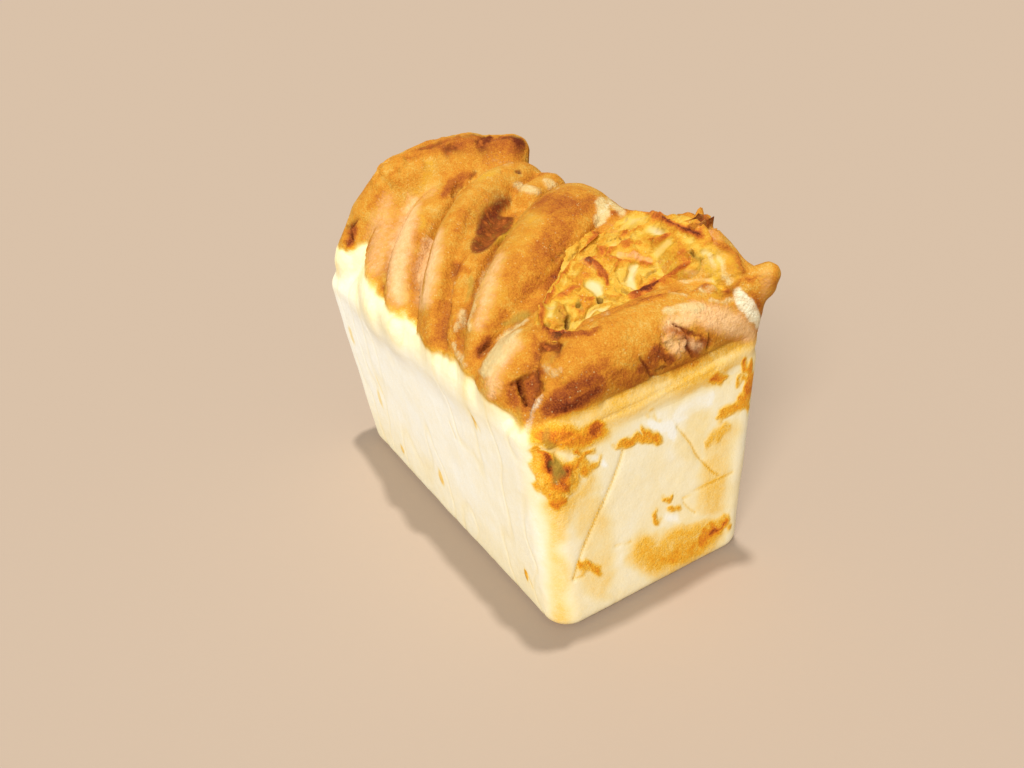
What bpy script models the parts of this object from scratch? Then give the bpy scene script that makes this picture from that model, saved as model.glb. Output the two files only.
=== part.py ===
"""Cheese pull-apart bread: a tin loaf of leaning dough lobes, with melted cheese in its open fold.

Shapes are worked out in millimetres in the tin's own frame, whose origin is the middle of the loaf's
foot: +X is the near end, -Y the long pale wall and +Z up. At the end they become metres, and the
origin moves to the middle of the loaf's box.

The dough is one body described by a gap function: negative inside, positive outside. A grid of sight
lines looks from outside towards the loaf's core, and each line stops where it meets dough.
"""

from collections import namedtuple

import bmesh
import bpy
import numpy as np

MM = 0.001

# The tin: a flared box with round corners
FOOT_LENGTH = 192.0
FOOT_WIDTH = 95.0
RIM_HEIGHT = 93.0
FLARE = 5.7
CORNER_RADIUS = 11.0
FOOT_ROUND = 5.0
BLOCK_TOP = 99.0
TOP_ROUND = 9.0

# The crown that rose over the rim: every lobe follows this arch from the pale wall to the far wall
BELLY_HEIGHT = RIM_HEIGHT + 6.0
PEAK_Y = 20.0
LEFT_REACH = 73.5
RIGHT_REACH = 34.0
LEFT_POWER = 1.5
RIGHT_POWER = 4.0
BELLY_DROP = 34.0

# The dough under the lobes, which shows at the bottom of each fold
CORE_RISE = 30.0
CORE_HALF_LENGTH = 94.0
CORE_SOFTNESS = 6.0

# Each lobe is an arch of dough. Its middle line passes x = foot, mid and back at these y, and its
# half thickness changes evenly from the first of them to the last.
PATH_Y = (-48.0, -10.0, 45.0)
Lobe = namedtuple("Lobe", "name foot mid back half_at_foot half_at_back crest softness")
LOBES = (
    Lobe("far_slice", -43.0, -79.0, -78.0, 25.0, 22.0, 140.0, 5.0),
    Lobe("third_slice", -19.0, -54.0, -58.0, 26.0, 27.0, 141.5, 5.0),
    Lobe("second_slice", 18.5, -23.0, -45.0, 27.0, 17.0, 144.0, 1.5),
    Lobe("big_lobe", 53.0, 29.5, 3.0, 21.0, 38.0, 143.5, 1.5),
)
LOBE_PILLOW = 2.2

# Strands are tubes of dough: stops of x, y, z and radius
Strand = namedtuple("Strand", "name softness stops")
STRANDS = (
    Strand("far_ridge", 5.0, (
        (-86, -35, 103, 15), (-85, -22, 119, 17), (-83, -7, 132, 18), (-81, 11, 135, 18),
        (-76, 25, 136.5, 17), (-64, 42, 142.5, 9))),
    Strand("front_roll", 2.0, (
        (91, -34, 103, 10.5), (89.5, -26, 107, 14), (89, -12, 109, 15.5), (89, 15, 110, 15.5),
        (88, 38, 110, 15))),
    Strand("end_fold", 3.0, (
        (90, -39, 96, 10), (94, -24, 97, 8), (96, -8, 95, 6.5), (97, 30, 97, 6.5), (96, 42, 98, 6.5))),
    Strand("roll_right_end", 3.0, (
        (91, 41, 104, 12), (94, 43, 112, 10), (94, 44, 120, 9))),
    Strand("small_lobe", 5.0, (
        (73, -39, 101, 14), (73, -31, 108, 13), (69, -21, 114, 9))),
    Strand("back_edge", 5.0, (
        (20, 38, 124, 11), (46, 37, 126, 12), (68, 38, 129, 12), (80, 38, 126, 12))),
    Strand("back_crag", 3.0, (
        (66, 41, 133, 7), (75, 41, 136, 7), (84, 42, 131, 7), (92, 43, 124, 7))),
    Strand("corner_ear", 3.0, (
        (88, 42, 114, 9), (96, 46, 119, 7.5), (101, 49, 122, 5.5), (103, 50, 126, 4.5))),
    Strand("behind_pocket", 3.0, (
        (-25, 28, 129, 9), (-31, 41, 130, 9))),
    Strand("web", 3.0, (
        (-14, 4, 124, 9), (2, -12, 123, 9), (11, -22, 118, 9), (22, -31, 112, 9), (34, -40, 106, 8))),
)

# Hollows are scooped out of the dough where a fold stands open
Knob = namedtuple("Knob", "name centre half turn")
HOLLOWS = (
    Knob("open_pocket", (-9.0, 1.0, 142.0), (18.0, 8.0, 15.0), 132.0),
    Knob("pocket_tail", (2.0, -11.0, 138.0), (13.0, 5.0, 11.0), 132.0),
    Knob("corner_cavity", (86.0, -44.0, 109.5), (4.0, 3.5, 5.5), 20.0),
)
HOLLOW_SOFTNESS = 3.0

# The melted cheese in the open fold between the big lobe and the front roll
CHEESE = (
    Strand("cheese_slope", 3.0, (
        (70, -22, 102, 14), (62, 0, 110, 16), (52, 24, 116, 18), (60, 36, 118, 18))),
    Strand("cheese_foot", 3.0, (
        (80, -12, 104, 13), (78, 12, 106, 14), (78, 34, 112, 14))),
)
CHEESE_PATCH = Strand("cheese_patch", 0.0, (
    (72, -20, 0, 10), (66, -3, 0, 17), (60, 14, 0, 21), (57, 23, 0, 21), (81, 33, 0, 9)))
CHEESE_DEPTH = 4.5
CHEESE_BANK = 0.5
CHEESE_GAP = 0.35
CHEESE_LEAST = 0.8
MOST_DRAWN = 0.75

# Finish
CRUST_COLOUR = (0.72, 0.42, 0.14)
CHEESE_COLOUR = (0.85, 0.62, 0.16)
ROUGHNESS = 0.6

# The grid of sight lines
TOP_COLUMNS = 80
TOP_ROWS = 44
WALL_HEIGHTS = (78.0, 66.0, 46.0, 26.0, 10.0, 5.0, 2.2, 0.6, 0.0)
FINE_SHARES = 401
MEASURED_AT = (-0.6, 0.0, 0.6)
INNER_HALF_X = 66.0
INNER_HALF_Y = 20.0
INNER_HEIGHT = 88.0
FAN_POWER = 1.9
REACH = 120.0
STEP = 1.5
HALVINGS = 12
FLOOR_CLEAR = 0.05


def length2(a, b):
    return np.sqrt(a * a + b * b)


def smooth_union(a, b, softness):
    """The smaller of two gaps, with the crease between them rounded over the given softness."""
    near = np.maximum(softness - np.abs(a - b), 0.0) / softness
    return np.minimum(a, b) - near * near * softness / 4.0


def tin_gap(x, y, z):
    """Signed distance to the flared tin block, round at its upright corners and round its foot."""
    flare = FLARE * z / RIM_HEIGHT
    inner_x = np.abs(x) - (FOOT_LENGTH / 2 + flare - CORNER_RADIUS)
    inner_y = np.abs(y) - (FOOT_WIDTH / 2 + flare - CORNER_RADIUS)
    outline = length2(np.maximum(inner_x, 0), np.maximum(inner_y, 0))
    outline += np.minimum(np.maximum(inner_x, inner_y), 0) - CORNER_RADIUS
    rounding = np.where(z < RIM_HEIGHT / 2, FOOT_ROUND, TOP_ROUND)
    side = outline + rounding
    end = np.maximum(-z, z - BLOCK_TOP) + rounding
    return length2(np.maximum(side, 0), np.maximum(end, 0)) + np.minimum(np.maximum(side, end), 0) - rounding


def arch_value(y, z, crest):
    """Squared place in the arch across the loaf: 1 on its outline, less inside it."""
    reach = np.where(y < PEAK_Y, LEFT_REACH, RIGHT_REACH)
    power = np.where(y < PEAK_Y, LEFT_POWER, RIGHT_POWER)
    across = (np.abs(y - PEAK_Y) / reach) ** power
    rise = np.where(z > BELLY_HEIGHT, crest - BELLY_HEIGHT, BELLY_DROP)
    return across + ((z - BELLY_HEIGHT) / rise) ** 2


def path_x(y, foot, mid, back):
    """The parabola in plan through the lobe's three named places."""
    y0, y1, y2 = PATH_Y
    share0 = (y - y1) * (y - y2) / ((y0 - y1) * (y0 - y2))
    share1 = (y - y0) * (y - y2) / ((y1 - y0) * (y1 - y2))
    share2 = (y - y0) * (y - y1) / ((y2 - y0) * (y2 - y1))
    return foot * share0 + mid * share1 + back * share2


def lobe_gap(x, y, z, lobe):
    """An arch of dough with a pillowed cross-section."""
    half = np.interp(y, (PATH_Y[0], PATH_Y[2]), (lobe.half_at_foot, lobe.half_at_back))
    off_middle = np.abs(x - path_x(y, lobe.foot, lobe.mid, lobe.back)) / half
    arch = np.sqrt(arch_value(y, z, lobe.crest))
    value = (arch**LOBE_PILLOW + off_middle**LOBE_PILLOW) ** (1 / LOBE_PILLOW)
    return (value - 1.0) * half


def strand_gap(points, strand):
    """A tube through its stops, whose radius changes evenly from stop to stop."""
    stops = np.array(strand.stops, float)
    gap = np.full(points.shape[:-1], np.inf)
    for here, there in zip(stops[:-1], stops[1:]):
        along = there[:3] - here[:3]
        share = np.clip((points - here[:3]) @ along / (along @ along), 0, 1)
        off = points - here[:3] - share[..., None] * along
        radius = here[3] + share * (there[3] - here[3])
        gap = np.minimum(gap, np.sqrt((off * off).sum(axis=-1)) - radius)
    return gap


def knob_gap(points, knob):
    """An egg shape, turned about Z."""
    turn = np.radians(knob.turn)
    away = points - knob.centre
    along = away[..., 0] * np.cos(turn) + away[..., 1] * np.sin(turn)
    across = away[..., 1] * np.cos(turn) - away[..., 0] * np.sin(turn)
    share = (along / knob.half[0]) ** 2 + (across / knob.half[1]) ** 2 + (away[..., 2] / knob.half[2]) ** 2
    return (np.sqrt(share) - 1.0) * min(knob.half)


def core_gap(x, y, z):
    """The low crown of dough under all the lobes."""
    arch = arch_value(y, z, BELLY_HEIGHT + CORE_RISE)
    value = np.sqrt(arch + (x / CORE_HALF_LENGTH) ** 6)
    return (value - 1.0) * CORE_RISE


def whole_gap(points):
    """Gap to the filled loaf: tin block, crown, lobes, strands and cheese, less the hollows."""
    x, y, z = points[..., 0], points[..., 1], points[..., 2]
    gap = smooth_union(tin_gap(x, y, z), core_gap(x, y, z), CORE_SOFTNESS)
    for lobe in LOBES:
        gap = smooth_union(gap, lobe_gap(x, y, z, lobe), lobe.softness)
    for strand in STRANDS + CHEESE:
        gap = smooth_union(gap, strand_gap(points, strand), strand.softness)
    for hollow in HOLLOWS:
        gap = -smooth_union(-gap, knob_gap(points, hollow), HOLLOW_SOFTNESS)
    return gap


def patch_level(points):
    """Depth wanted for the cheese under each surface point, below zero outside its patch in plan."""
    return -CHEESE_BANK * strand_gap(points * [1, 1, 0], CHEESE_PATCH)


def fan(share):
    """Bends a share from -1 to 1, so that lines near the middle stay nearly upright."""
    return np.sign(share) * np.abs(share) ** FAN_POWER


def sight_lines(p, q):
    """Start points on the core and outward directions, for shares p along the loaf and q across it."""
    start = np.stack([p * INNER_HALF_X, q * INNER_HALF_Y, np.full_like(p, INNER_HEIGHT)], axis=-1)
    upright = np.sqrt(np.maximum((1 - p * p) * (1 - q * q), 0))
    way = np.stack([fan(p), fan(q), upright], axis=-1)
    return start, way / np.linalg.norm(way, axis=-1, keepdims=True)


def even_shares(cells, along):
    """Shares from -1 to 1 that cut the crown into pieces of even length, measured over three lines."""
    fine = np.linspace(-1, 1, FINE_SHARES)
    p, q = np.meshgrid(fine, MEASURED_AT, indexing="ij")
    if not along:
        p, q = q, p
    points = crown_points(p, q)[0]
    steps = np.linalg.norm(np.diff(points, axis=0), axis=-1).mean(axis=1)
    length = np.concatenate([[0], np.cumsum(steps)])
    return np.interp(np.linspace(0, length[-1], cells + 1), length, fine)


def rim_loop(grid):
    """The grid's border, once round, without repeating a corner."""
    return np.concatenate([grid[:-1, 0], grid[-1, :-1], grid[:0:-1, -1], grid[0, :0:-1]])


def wall_points(start, way):
    """Points found by level sight lines under the rim: one ring for each height down to the floor."""
    heights = np.array(WALL_HEIGHTS)[:, None]
    starts = np.repeat(rim_loop(start)[None], len(heights), axis=0)
    ways = np.repeat(rim_loop(way)[None], len(heights), axis=0)
    starts[..., 2] = np.maximum(heights, FLOOR_CLEAR)
    points = starts + reach_of(starts, ways, whole_gap)[..., None] * ways
    points[..., 2] = heights
    return points


def reach_of(start, way, gap):
    """How far out along each line its outermost dough lies: steps inwards, then halves the step."""
    reach = np.full(start.shape[:-1], REACH)
    looking = np.ones(reach.shape, bool)
    for _ in range(int(REACH / STEP)):
        trial = start[looking] + (reach[looking] - STEP)[:, None] * way[looking]
        outside = gap(trial) > 0
        index = np.flatnonzero(looking)
        reach.flat[index[outside]] -= STEP
        looking.flat[index[~outside]] = False
        if not looking.any():
            break
    low, high = reach - STEP, reach.copy()
    for _ in range(HALVINGS):
        middle = (low + high) / 2
        inside = gap(start + middle[..., None] * way) < 0
        low, high = np.where(inside, middle, low), np.where(inside, high, middle)
    return (low + high) / 2


def main_patch(cells):
    """The true cells that join the longest run of neighbours, so that the cheese is one body."""
    label = np.where(cells, np.arange(cells.size).reshape(cells.shape) + 1, 0)
    padded = np.pad(label, 1)
    for _ in range(sum(cells.shape)):
        around = np.maximum.reduce([padded[:-2, 1:-1], padded[2:, 1:-1], padded[1:-1, :-2], padded[1:-1, 2:]])
        padded[1:-1, 1:-1] = np.where(cells, np.maximum(around, padded[1:-1, 1:-1]), 0)
    labels, counts = np.unique(padded[padded > 0], return_counts=True)
    return padded[1:-1, 1:-1] == labels[counts.argmax()]


def whole_cells(level):
    """The grid cells whose four corners all lie in the cheese, less any that stand apart."""
    deep = level > CHEESE_LEAST
    return main_patch(deep[:-1, :-1] & deep[1:, :-1] & deep[1:, 1:] & deep[:-1, 1:])


def border_corners(whole):
    """The grid points that touch both a cell of the cheese and a cell outside it."""
    around = np.pad(whole, 1)
    four = np.stack([around[:-1, :-1], around[1:, :-1], around[1:, 1:], around[:-1, 1:]])
    return four.any(axis=0) & ~four.all(axis=0)


def drawn_to_edge(p_line, q_line, level, whole):
    """Moves the border's grid points on to the edge of the cheese, so that its outline runs smooth."""
    slope_p, slope_q = np.gradient(level)
    wanted = np.where(border_corners(whole), (CHEESE_LEAST - level) / (slope_p**2 + slope_q**2), 0)
    column, row = np.indices(level.shape)
    column = column + np.clip(wanted * slope_p, -MOST_DRAWN, MOST_DRAWN)
    row = row + np.clip(wanted * slope_q, -MOST_DRAWN, MOST_DRAWN)
    p = np.interp(column, np.arange(len(p_line)), p_line)
    return p, np.interp(row, np.arange(len(q_line)), q_line)


def crown_points(p, q):
    start, way = sight_lines(p, q)
    return start + reach_of(start, way, whole_gap)[..., None] * way, start, way


def surfaces():
    """Points of the crown's filled surface, of the dough and cheese under it, and of the wall's rings."""
    p_line, q_line = even_shares(TOP_COLUMNS, True), even_shares(TOP_ROWS, False)
    p, q = np.meshgrid(p_line, q_line, indexing="ij")
    level = patch_level(crown_points(p, q)[0])
    whole = whole_cells(level)
    crown, start, way = crown_points(*drawn_to_edge(p_line, q_line, level, whole))
    depth = np.clip(patch_level(crown), 0, CHEESE_DEPTH)
    dough = crown - depth[..., None] * way
    cheese_foot = dough + CHEESE_GAP * way
    return crown, dough, cheese_foot, whole, wall_points(start, way)


def build_mesh(name, points, faces, colour):
    mesh = bpy.data.meshes.new(name)
    mesh.from_pydata((np.asarray(points) * MM).tolist(), [], faces)
    work = bmesh.new()
    work.from_mesh(mesh)
    bmesh.ops.recalc_face_normals(work, faces=work.faces)
    bmesh.ops.triangulate(work, faces=work.faces)
    work.to_mesh(mesh)
    work.free()
    mesh.shade_smooth()
    material = bpy.data.materials.new(name)
    material.use_nodes = True
    shader = material.node_tree.nodes["Principled BSDF"]
    shader.inputs["Base Color"].default_value = (*colour, 1.0)
    shader.inputs["Roughness"].default_value = ROUGHNESS
    mesh.materials.append(material)
    obj = bpy.data.objects.new(name, mesh)
    bpy.context.scene.collection.objects.link(obj)
    return obj


def quads(index):
    """Faces between neighbouring rows and columns of a grid of vertex numbers."""
    corners = (index[:-1, :-1], index[1:, :-1], index[1:, 1:], index[:-1, 1:])
    return np.stack(corners, axis=-1).reshape(-1, 4).tolist()


def make_loaf(crown, wall, settle):
    top = np.arange(crown.shape[0] * crown.shape[1]).reshape(crown.shape[:2])
    rings = top.size + np.arange(wall.shape[0] * wall.shape[1]).reshape(wall.shape[:2])
    rings = np.concatenate([rim_loop(top)[None], rings])
    closed = np.concatenate([rings, rings[:, :1]], axis=1)
    faces = quads(top) + quads(closed) + [rings[-1].tolist()]
    points = np.concatenate([crown.reshape(-1, 3), wall.reshape(-1, 3)])
    return build_mesh("loaf", points - settle, faces, CRUST_COLOUR)


def make_cheese(crown, cheese_foot, whole, settle):
    """The cheese between its own surface and the dough, on the crown's own sight lines."""
    count = crown.shape[0] * crown.shape[1]
    index = np.arange(count).reshape(crown.shape[:2])
    cells = np.stack([index[:-1, :-1], index[1:, :-1], index[1:, 1:], index[:-1, 1:]], axis=-1)[whole]
    below = (cells + count)[:, ::-1]
    edges = set()
    for cell in cells.tolist():
        edges.update(zip(cell, cell[1:] + cell[:1]))
    border = [(a, b) for a, b in sorted(edges) if (b, a) not in edges]
    sides = [(b, a, a + count, b + count) for a, b in border]
    points = np.concatenate([crown.reshape(-1, 3), cheese_foot.reshape(-1, 3)])
    used, faces = np.unique(np.concatenate([cells, below, np.array(sides)]), return_inverse=True)
    return build_mesh("melted_cheese", points[used] - settle, faces.reshape(-1, 4).tolist(), CHEESE_COLOUR)


def main():
    for old in list(bpy.data.objects):
        bpy.data.objects.remove(old)
    crown, dough, cheese_foot, whole, wall = surfaces()
    everything = np.concatenate([dough.reshape(-1, 3), wall.reshape(-1, 3)])
    middle = (everything.min(axis=0) + everything.max(axis=0)) / 2
    settle = middle * [1, 1, 0]
    make_loaf(dough, wall, settle)
    make_cheese(crown, cheese_foot, whole, settle)


main()
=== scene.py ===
# %% [markdown]
# # A cheese pull-apart bread, baked in a tin
#
# The real loaf is a row of dough lobes that rose out of a small tin, leaned on each other and browned,
# over four straight walls that stayed pale. Melted cheese fills the fold behind its front roll.
#
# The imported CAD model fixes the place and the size. This file gives the finish: two shells of crust and
# one of cheese, each worked out as whole numpy arrays, with a procedural material.
#
# Lengths are millimetres in the tin's own frame until a mesh is made: the origin is the middle of the
# loaf's foot, +X the near end, -Y the long pale wall and +Z up.

import itertools
from collections import namedtuple

import bpy
import numpy as np
from mathutils import Matrix


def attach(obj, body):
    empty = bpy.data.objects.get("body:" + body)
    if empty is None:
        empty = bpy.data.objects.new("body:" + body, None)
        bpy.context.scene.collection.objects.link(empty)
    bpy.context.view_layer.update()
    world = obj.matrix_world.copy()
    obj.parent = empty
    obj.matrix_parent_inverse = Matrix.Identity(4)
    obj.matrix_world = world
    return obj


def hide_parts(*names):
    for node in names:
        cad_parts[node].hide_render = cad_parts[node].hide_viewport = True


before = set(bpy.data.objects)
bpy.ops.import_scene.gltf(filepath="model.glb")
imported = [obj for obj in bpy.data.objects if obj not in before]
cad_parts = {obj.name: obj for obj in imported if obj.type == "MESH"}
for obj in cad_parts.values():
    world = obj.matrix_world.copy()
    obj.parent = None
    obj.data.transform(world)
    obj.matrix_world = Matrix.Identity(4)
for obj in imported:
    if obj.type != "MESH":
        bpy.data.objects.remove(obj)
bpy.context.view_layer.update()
MM = 0.001
print("packed nodes:", sorted(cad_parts))

# %% [markdown]
# ## Where the tin stands in the frame
#
# The frame's origin is the middle of the loaf's box, and one corner of the crust leans out, so the foot
# of the tin isn't in the middle. A place could be copied by hand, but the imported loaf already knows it:
# its lowest points are the foot's outline, and their middle is the tin's origin.

# %% The tin's origin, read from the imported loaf's foot
FOOT_SLICE = 0.001


def foot_middle(node):
    """Middle of the box round the node's lowest points, in millimetres."""
    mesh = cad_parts[node].data
    points = np.empty(len(mesh.vertices) * 3, np.float32)
    mesh.vertices.foreach_get("co", points)
    points = points.reshape(-1, 3)
    foot = points[points[:, 2] < FOOT_SLICE]
    middle = (foot.min(axis=0) + foot.max(axis=0)) / 2
    return np.array([middle[0], middle[1], 0.0]) / MM


TIN_ORIGIN = foot_middle("loaf")
print("tin origin in the frame, mm:", TIN_ORIGIN.round(2))

# %% [markdown]
# ## The shape as one gap function
#
# Dough that rises in a tin meets its neighbours in soft creases. Separate blobs joined by booleans would
# meet in hard lines, so the loaf is one function instead: it says how far a point is outside the dough.
# A smooth union of simple forms gives the creases their round bottoms.

# %% Named sizes of the tin and the crown
FOOT_LENGTH = 192.0
FOOT_WIDTH = 95.0
RIM_HEIGHT = 93.0
FLARE = 5.7
CORNER_RADIUS = 11.0
FOOT_ROUND = 5.0
BLOCK_TOP = 99.0
TOP_ROUND = 9.0
BELLY_HEIGHT = RIM_HEIGHT + 6.0
PEAK_Y = 20.0
LEFT_REACH = 73.5
RIGHT_REACH = 34.0
LEFT_POWER = 1.5
RIGHT_POWER = 4.0
BELLY_DROP = 34.0
CORE_RISE = 30.0
CORE_HALF_LENGTH = 94.0
CORE_POWER = 6
CORE_SOFTNESS = 6.0
PATH_Y = (-48.0, -10.0, 45.0)
LOBE_PILLOW = 2.2
HOLLOW_SOFTNESS = 3.0

# %% Lobes, strands and hollows of dough
Lobe = namedtuple("Lobe", "name foot mid back half_at_foot half_at_back crest softness")
Strand = namedtuple("Strand", "name softness stops")
Knob = namedtuple("Knob", "name centre half turn")

LOBES = (
    Lobe("far_slice", -43.0, -79.0, -78.0, 25.0, 22.0, 140.0, 5.0),
    Lobe("third_slice", -19.0, -54.0, -58.0, 26.0, 27.0, 141.5, 5.0),
    Lobe("second_slice", 18.5, -23.0, -45.0, 27.0, 17.0, 144.0, 1.5),
    Lobe("big_lobe", 53.0, 29.5, 3.0, 21.0, 38.0, 143.5, 1.5),
)
STRANDS = (
    Strand("far_ridge", 5.0, (
        (-86, -35, 103, 15), (-85, -22, 119, 17), (-83, -7, 132, 18), (-81, 11, 135, 18),
        (-76, 25, 136.5, 17), (-64, 42, 142.5, 9))),
    Strand("front_roll", 2.0, (
        (91, -34, 103, 10.5), (89.5, -26, 107, 14), (89, -12, 109, 15.5), (89, 15, 110, 15.5),
        (88, 38, 110, 15))),
    Strand("end_fold", 3.0, (
        (90, -39, 96, 10), (94, -24, 97, 8), (96, -8, 95, 6.5), (97, 30, 97, 6.5), (96, 42, 98, 6.5))),
    Strand("roll_right_end", 3.0, (
        (91, 41, 104, 12), (94, 43, 112, 10), (94, 44, 120, 9))),
    Strand("small_lobe", 5.0, (
        (73, -39, 101, 14), (73, -31, 108, 13), (69, -21, 114, 9))),
    Strand("back_edge", 5.0, (
        (20, 38, 124, 11), (46, 37, 126, 12), (68, 38, 129, 12), (80, 38, 126, 12))),
    Strand("back_crag", 3.0, (
        (66, 41, 133, 7), (75, 41, 136, 7), (84, 42, 131, 7), (92, 43, 124, 7))),
    Strand("corner_ear", 3.0, (
        (88, 42, 114, 9), (96, 46, 119, 7.5), (101, 49, 122, 5.5), (103, 50, 126, 4.5))),
    Strand("behind_pocket", 3.0, (
        (-25, 28, 129, 9), (-31, 41, 130, 9))),
    Strand("web", 3.0, (
        (-14, 4, 124, 9), (2, -12, 123, 9), (11, -22, 118, 9), (22, -31, 112, 9), (34, -40, 106, 8))),
)
POCKET = Knob("open_pocket", (-9.0, 1.0, 142.0), (18.0, 8.0, 15.0), 132.0)
POCKET_TAIL = Knob("pocket_tail", (2.0, -11.0, 138.0), (13.0, 5.0, 11.0), 132.0)
CAVITY = Knob("corner_cavity", (86.0, -44.0, 109.5), (4.0, 3.5, 5.5), 20.0)
SLIT = Knob("narrow_slit", (84.0, -31.0, 118.0), (3.5, 1.3, 5.0), 20.0)
HOLLOWS = (POCKET, POCKET_TAIL, CAVITY, SLIT)
CHEESE = (
    Strand("cheese_slope", 3.0, (
        (70, -22, 102, 14), (62, 0, 110, 16), (52, 24, 116, 18), (60, 36, 118, 18))),
    Strand("cheese_foot", 3.0, (
        (80, -12, 104, 13), (78, 12, 106, 14), (78, 34, 112, 14))),
)
CHEESE_PATCH = Strand("cheese_patch", 0.0, (
    (72, -20, 0, 10), (66, -3, 0, 17), (60, 14, 0, 21), (57, 23, 0, 21), (81, 33, 0, 9)))
CHEESE_DEPTH = 4.5
CHEESE_BANK = 0.5
print("forms:", len(LOBES), "lobes,", len(STRANDS), "strands,", len(HOLLOWS), "hollows")

# %% Gaps to the simple forms
def length2(a, b):
    return np.sqrt(a * a + b * b)


def smooth_union(a, b, softness):
    """The smaller of two gaps, with the crease between them rounded over the given softness."""
    near = np.maximum(softness - np.abs(a - b), 0.0) / softness
    return np.minimum(a, b) - near * near * softness / 4.0


def tin_gap(x, y, z):
    """Signed distance to the flared tin block, round at its upright corners and round its foot."""
    flare = FLARE * z / RIM_HEIGHT
    inner_x = np.abs(x) - (FOOT_LENGTH / 2 + flare - CORNER_RADIUS)
    inner_y = np.abs(y) - (FOOT_WIDTH / 2 + flare - CORNER_RADIUS)
    outline = length2(np.maximum(inner_x, 0), np.maximum(inner_y, 0))
    outline += np.minimum(np.maximum(inner_x, inner_y), 0) - CORNER_RADIUS
    rounding = np.where(z < RIM_HEIGHT / 2, FOOT_ROUND, TOP_ROUND)
    side = outline + rounding
    end = np.maximum(-z, z - BLOCK_TOP) + rounding
    return length2(np.maximum(side, 0), np.maximum(end, 0)) + np.minimum(np.maximum(side, end), 0) - rounding


def arch_value(y, z, crest):
    """Squared place in the arch across the loaf: 1 on its outline, less inside it."""
    reach = np.where(y < PEAK_Y, LEFT_REACH, RIGHT_REACH)
    power = np.where(y < PEAK_Y, LEFT_POWER, RIGHT_POWER)
    across = (np.abs(y - PEAK_Y) / reach) ** power
    rise = np.where(z > BELLY_HEIGHT, crest - BELLY_HEIGHT, BELLY_DROP)
    return across + ((z - BELLY_HEIGHT) / rise) ** 2


def path_x(y, lobe):
    """The parabola in plan through the lobe's three named places."""
    y0, y1, y2 = PATH_Y
    share0 = (y - y1) * (y - y2) / ((y0 - y1) * (y0 - y2))
    share1 = (y - y0) * (y - y2) / ((y1 - y0) * (y1 - y2))
    share2 = (y - y0) * (y - y1) / ((y2 - y0) * (y2 - y1))
    return lobe.foot * share0 + lobe.mid * share1 + lobe.back * share2


def lobe_gap(x, y, z, lobe):
    """An arch of dough with a pillowed cross-section."""
    half = np.interp(y, (PATH_Y[0], PATH_Y[2]), (lobe.half_at_foot, lobe.half_at_back))
    off_middle = np.abs(x - path_x(y, lobe)) / half
    arch = np.sqrt(arch_value(y, z, lobe.crest))
    value = (arch**LOBE_PILLOW + off_middle**LOBE_PILLOW) ** (1 / LOBE_PILLOW)
    return (value - 1.0) * half


def strand_gap(points, stops):
    """A tube through stops of x, y, z and radius, which changes evenly from stop to stop."""
    stops = np.array(stops, float)
    gap = np.full(points.shape[:-1], np.inf)
    for here, there in zip(stops[:-1], stops[1:]):
        along = there[:3] - here[:3]
        share = np.clip((points - here[:3]) @ along / (along @ along), 0, 1)
        off = points - here[:3] - share[..., None] * along
        radius = here[3] + share * (there[3] - here[3])
        gap = np.minimum(gap, np.sqrt((off * off).sum(axis=-1)) - radius)
    return gap


def egg_share(points, centre, half, turn=0.0):
    """Distance from the centre of an egg shape, turned about Z by some degrees: 1 on its surface."""
    turn = np.radians(turn)
    away = points - centre
    along = away[..., 0] * np.cos(turn) + away[..., 1] * np.sin(turn)
    across = away[..., 1] * np.cos(turn) - away[..., 0] * np.sin(turn)
    return np.sqrt((along / half[0]) ** 2 + (across / half[1]) ** 2 + (away[..., 2] / half[2]) ** 2)


def knob_gap(points, knob):
    return (egg_share(points, knob.centre, knob.half, knob.turn) - 1.0) * min(knob.half)


def core_gap(x, y, z):
    """The low crown of dough under all the lobes."""
    arch = arch_value(y, z, BELLY_HEIGHT + CORE_RISE)
    value = np.sqrt(arch + (x / CORE_HALF_LENGTH) ** CORE_POWER)
    return (value - 1.0) * CORE_RISE


def whole_gap(points):
    """Gap to the filled loaf: tin block, crown, lobes, strands and cheese, less the hollows."""
    x, y, z = points[..., 0], points[..., 1], points[..., 2]
    gap = smooth_union(tin_gap(x, y, z), core_gap(x, y, z), CORE_SOFTNESS)
    for lobe in LOBES:
        gap = smooth_union(gap, lobe_gap(x, y, z, lobe), lobe.softness)
    for strand in STRANDS + CHEESE:
        gap = smooth_union(gap, strand_gap(points, strand.stops), strand.softness)
    for hollow in HOLLOWS:
        gap = -smooth_union(-gap, knob_gap(points, hollow), HOLLOW_SOFTNESS)
    return gap


def patch_level(points):
    """Depth wanted for the cheese under each surface point, below zero outside its patch in plan."""
    return -CHEESE_BANK * strand_gap(points * [1, 1, 0], CHEESE_PATCH.stops)


# %% [markdown]
# ## From a gap function to a grid of points
#
# A gap function has no faces. Marching cubes would give an even but shapeless mesh, so sight lines are
# used: a grid of lines looks inwards, and each stops where it meets dough. The grid's rows then run over
# the loaf as rows of vertices, and a second grid of level lines does the same for the walls.

# %% Sight lines and where they meet the dough
INNER_HALF_X = 66.0
INNER_HALF_Y = 20.0
INNER_HEIGHT = 88.0
FAN_POWER = 1.9
REACH = 120.0
STEP = 1.5
HALVINGS = 11
FINE_SHARES = 401
MEASURED_AT = (-0.6, 0.0, 0.6)


def fan(share):
    """Bends a share from -1 to 1, so that lines near the middle stay nearly upright."""
    return np.sign(share) * np.abs(share) ** FAN_POWER


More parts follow.
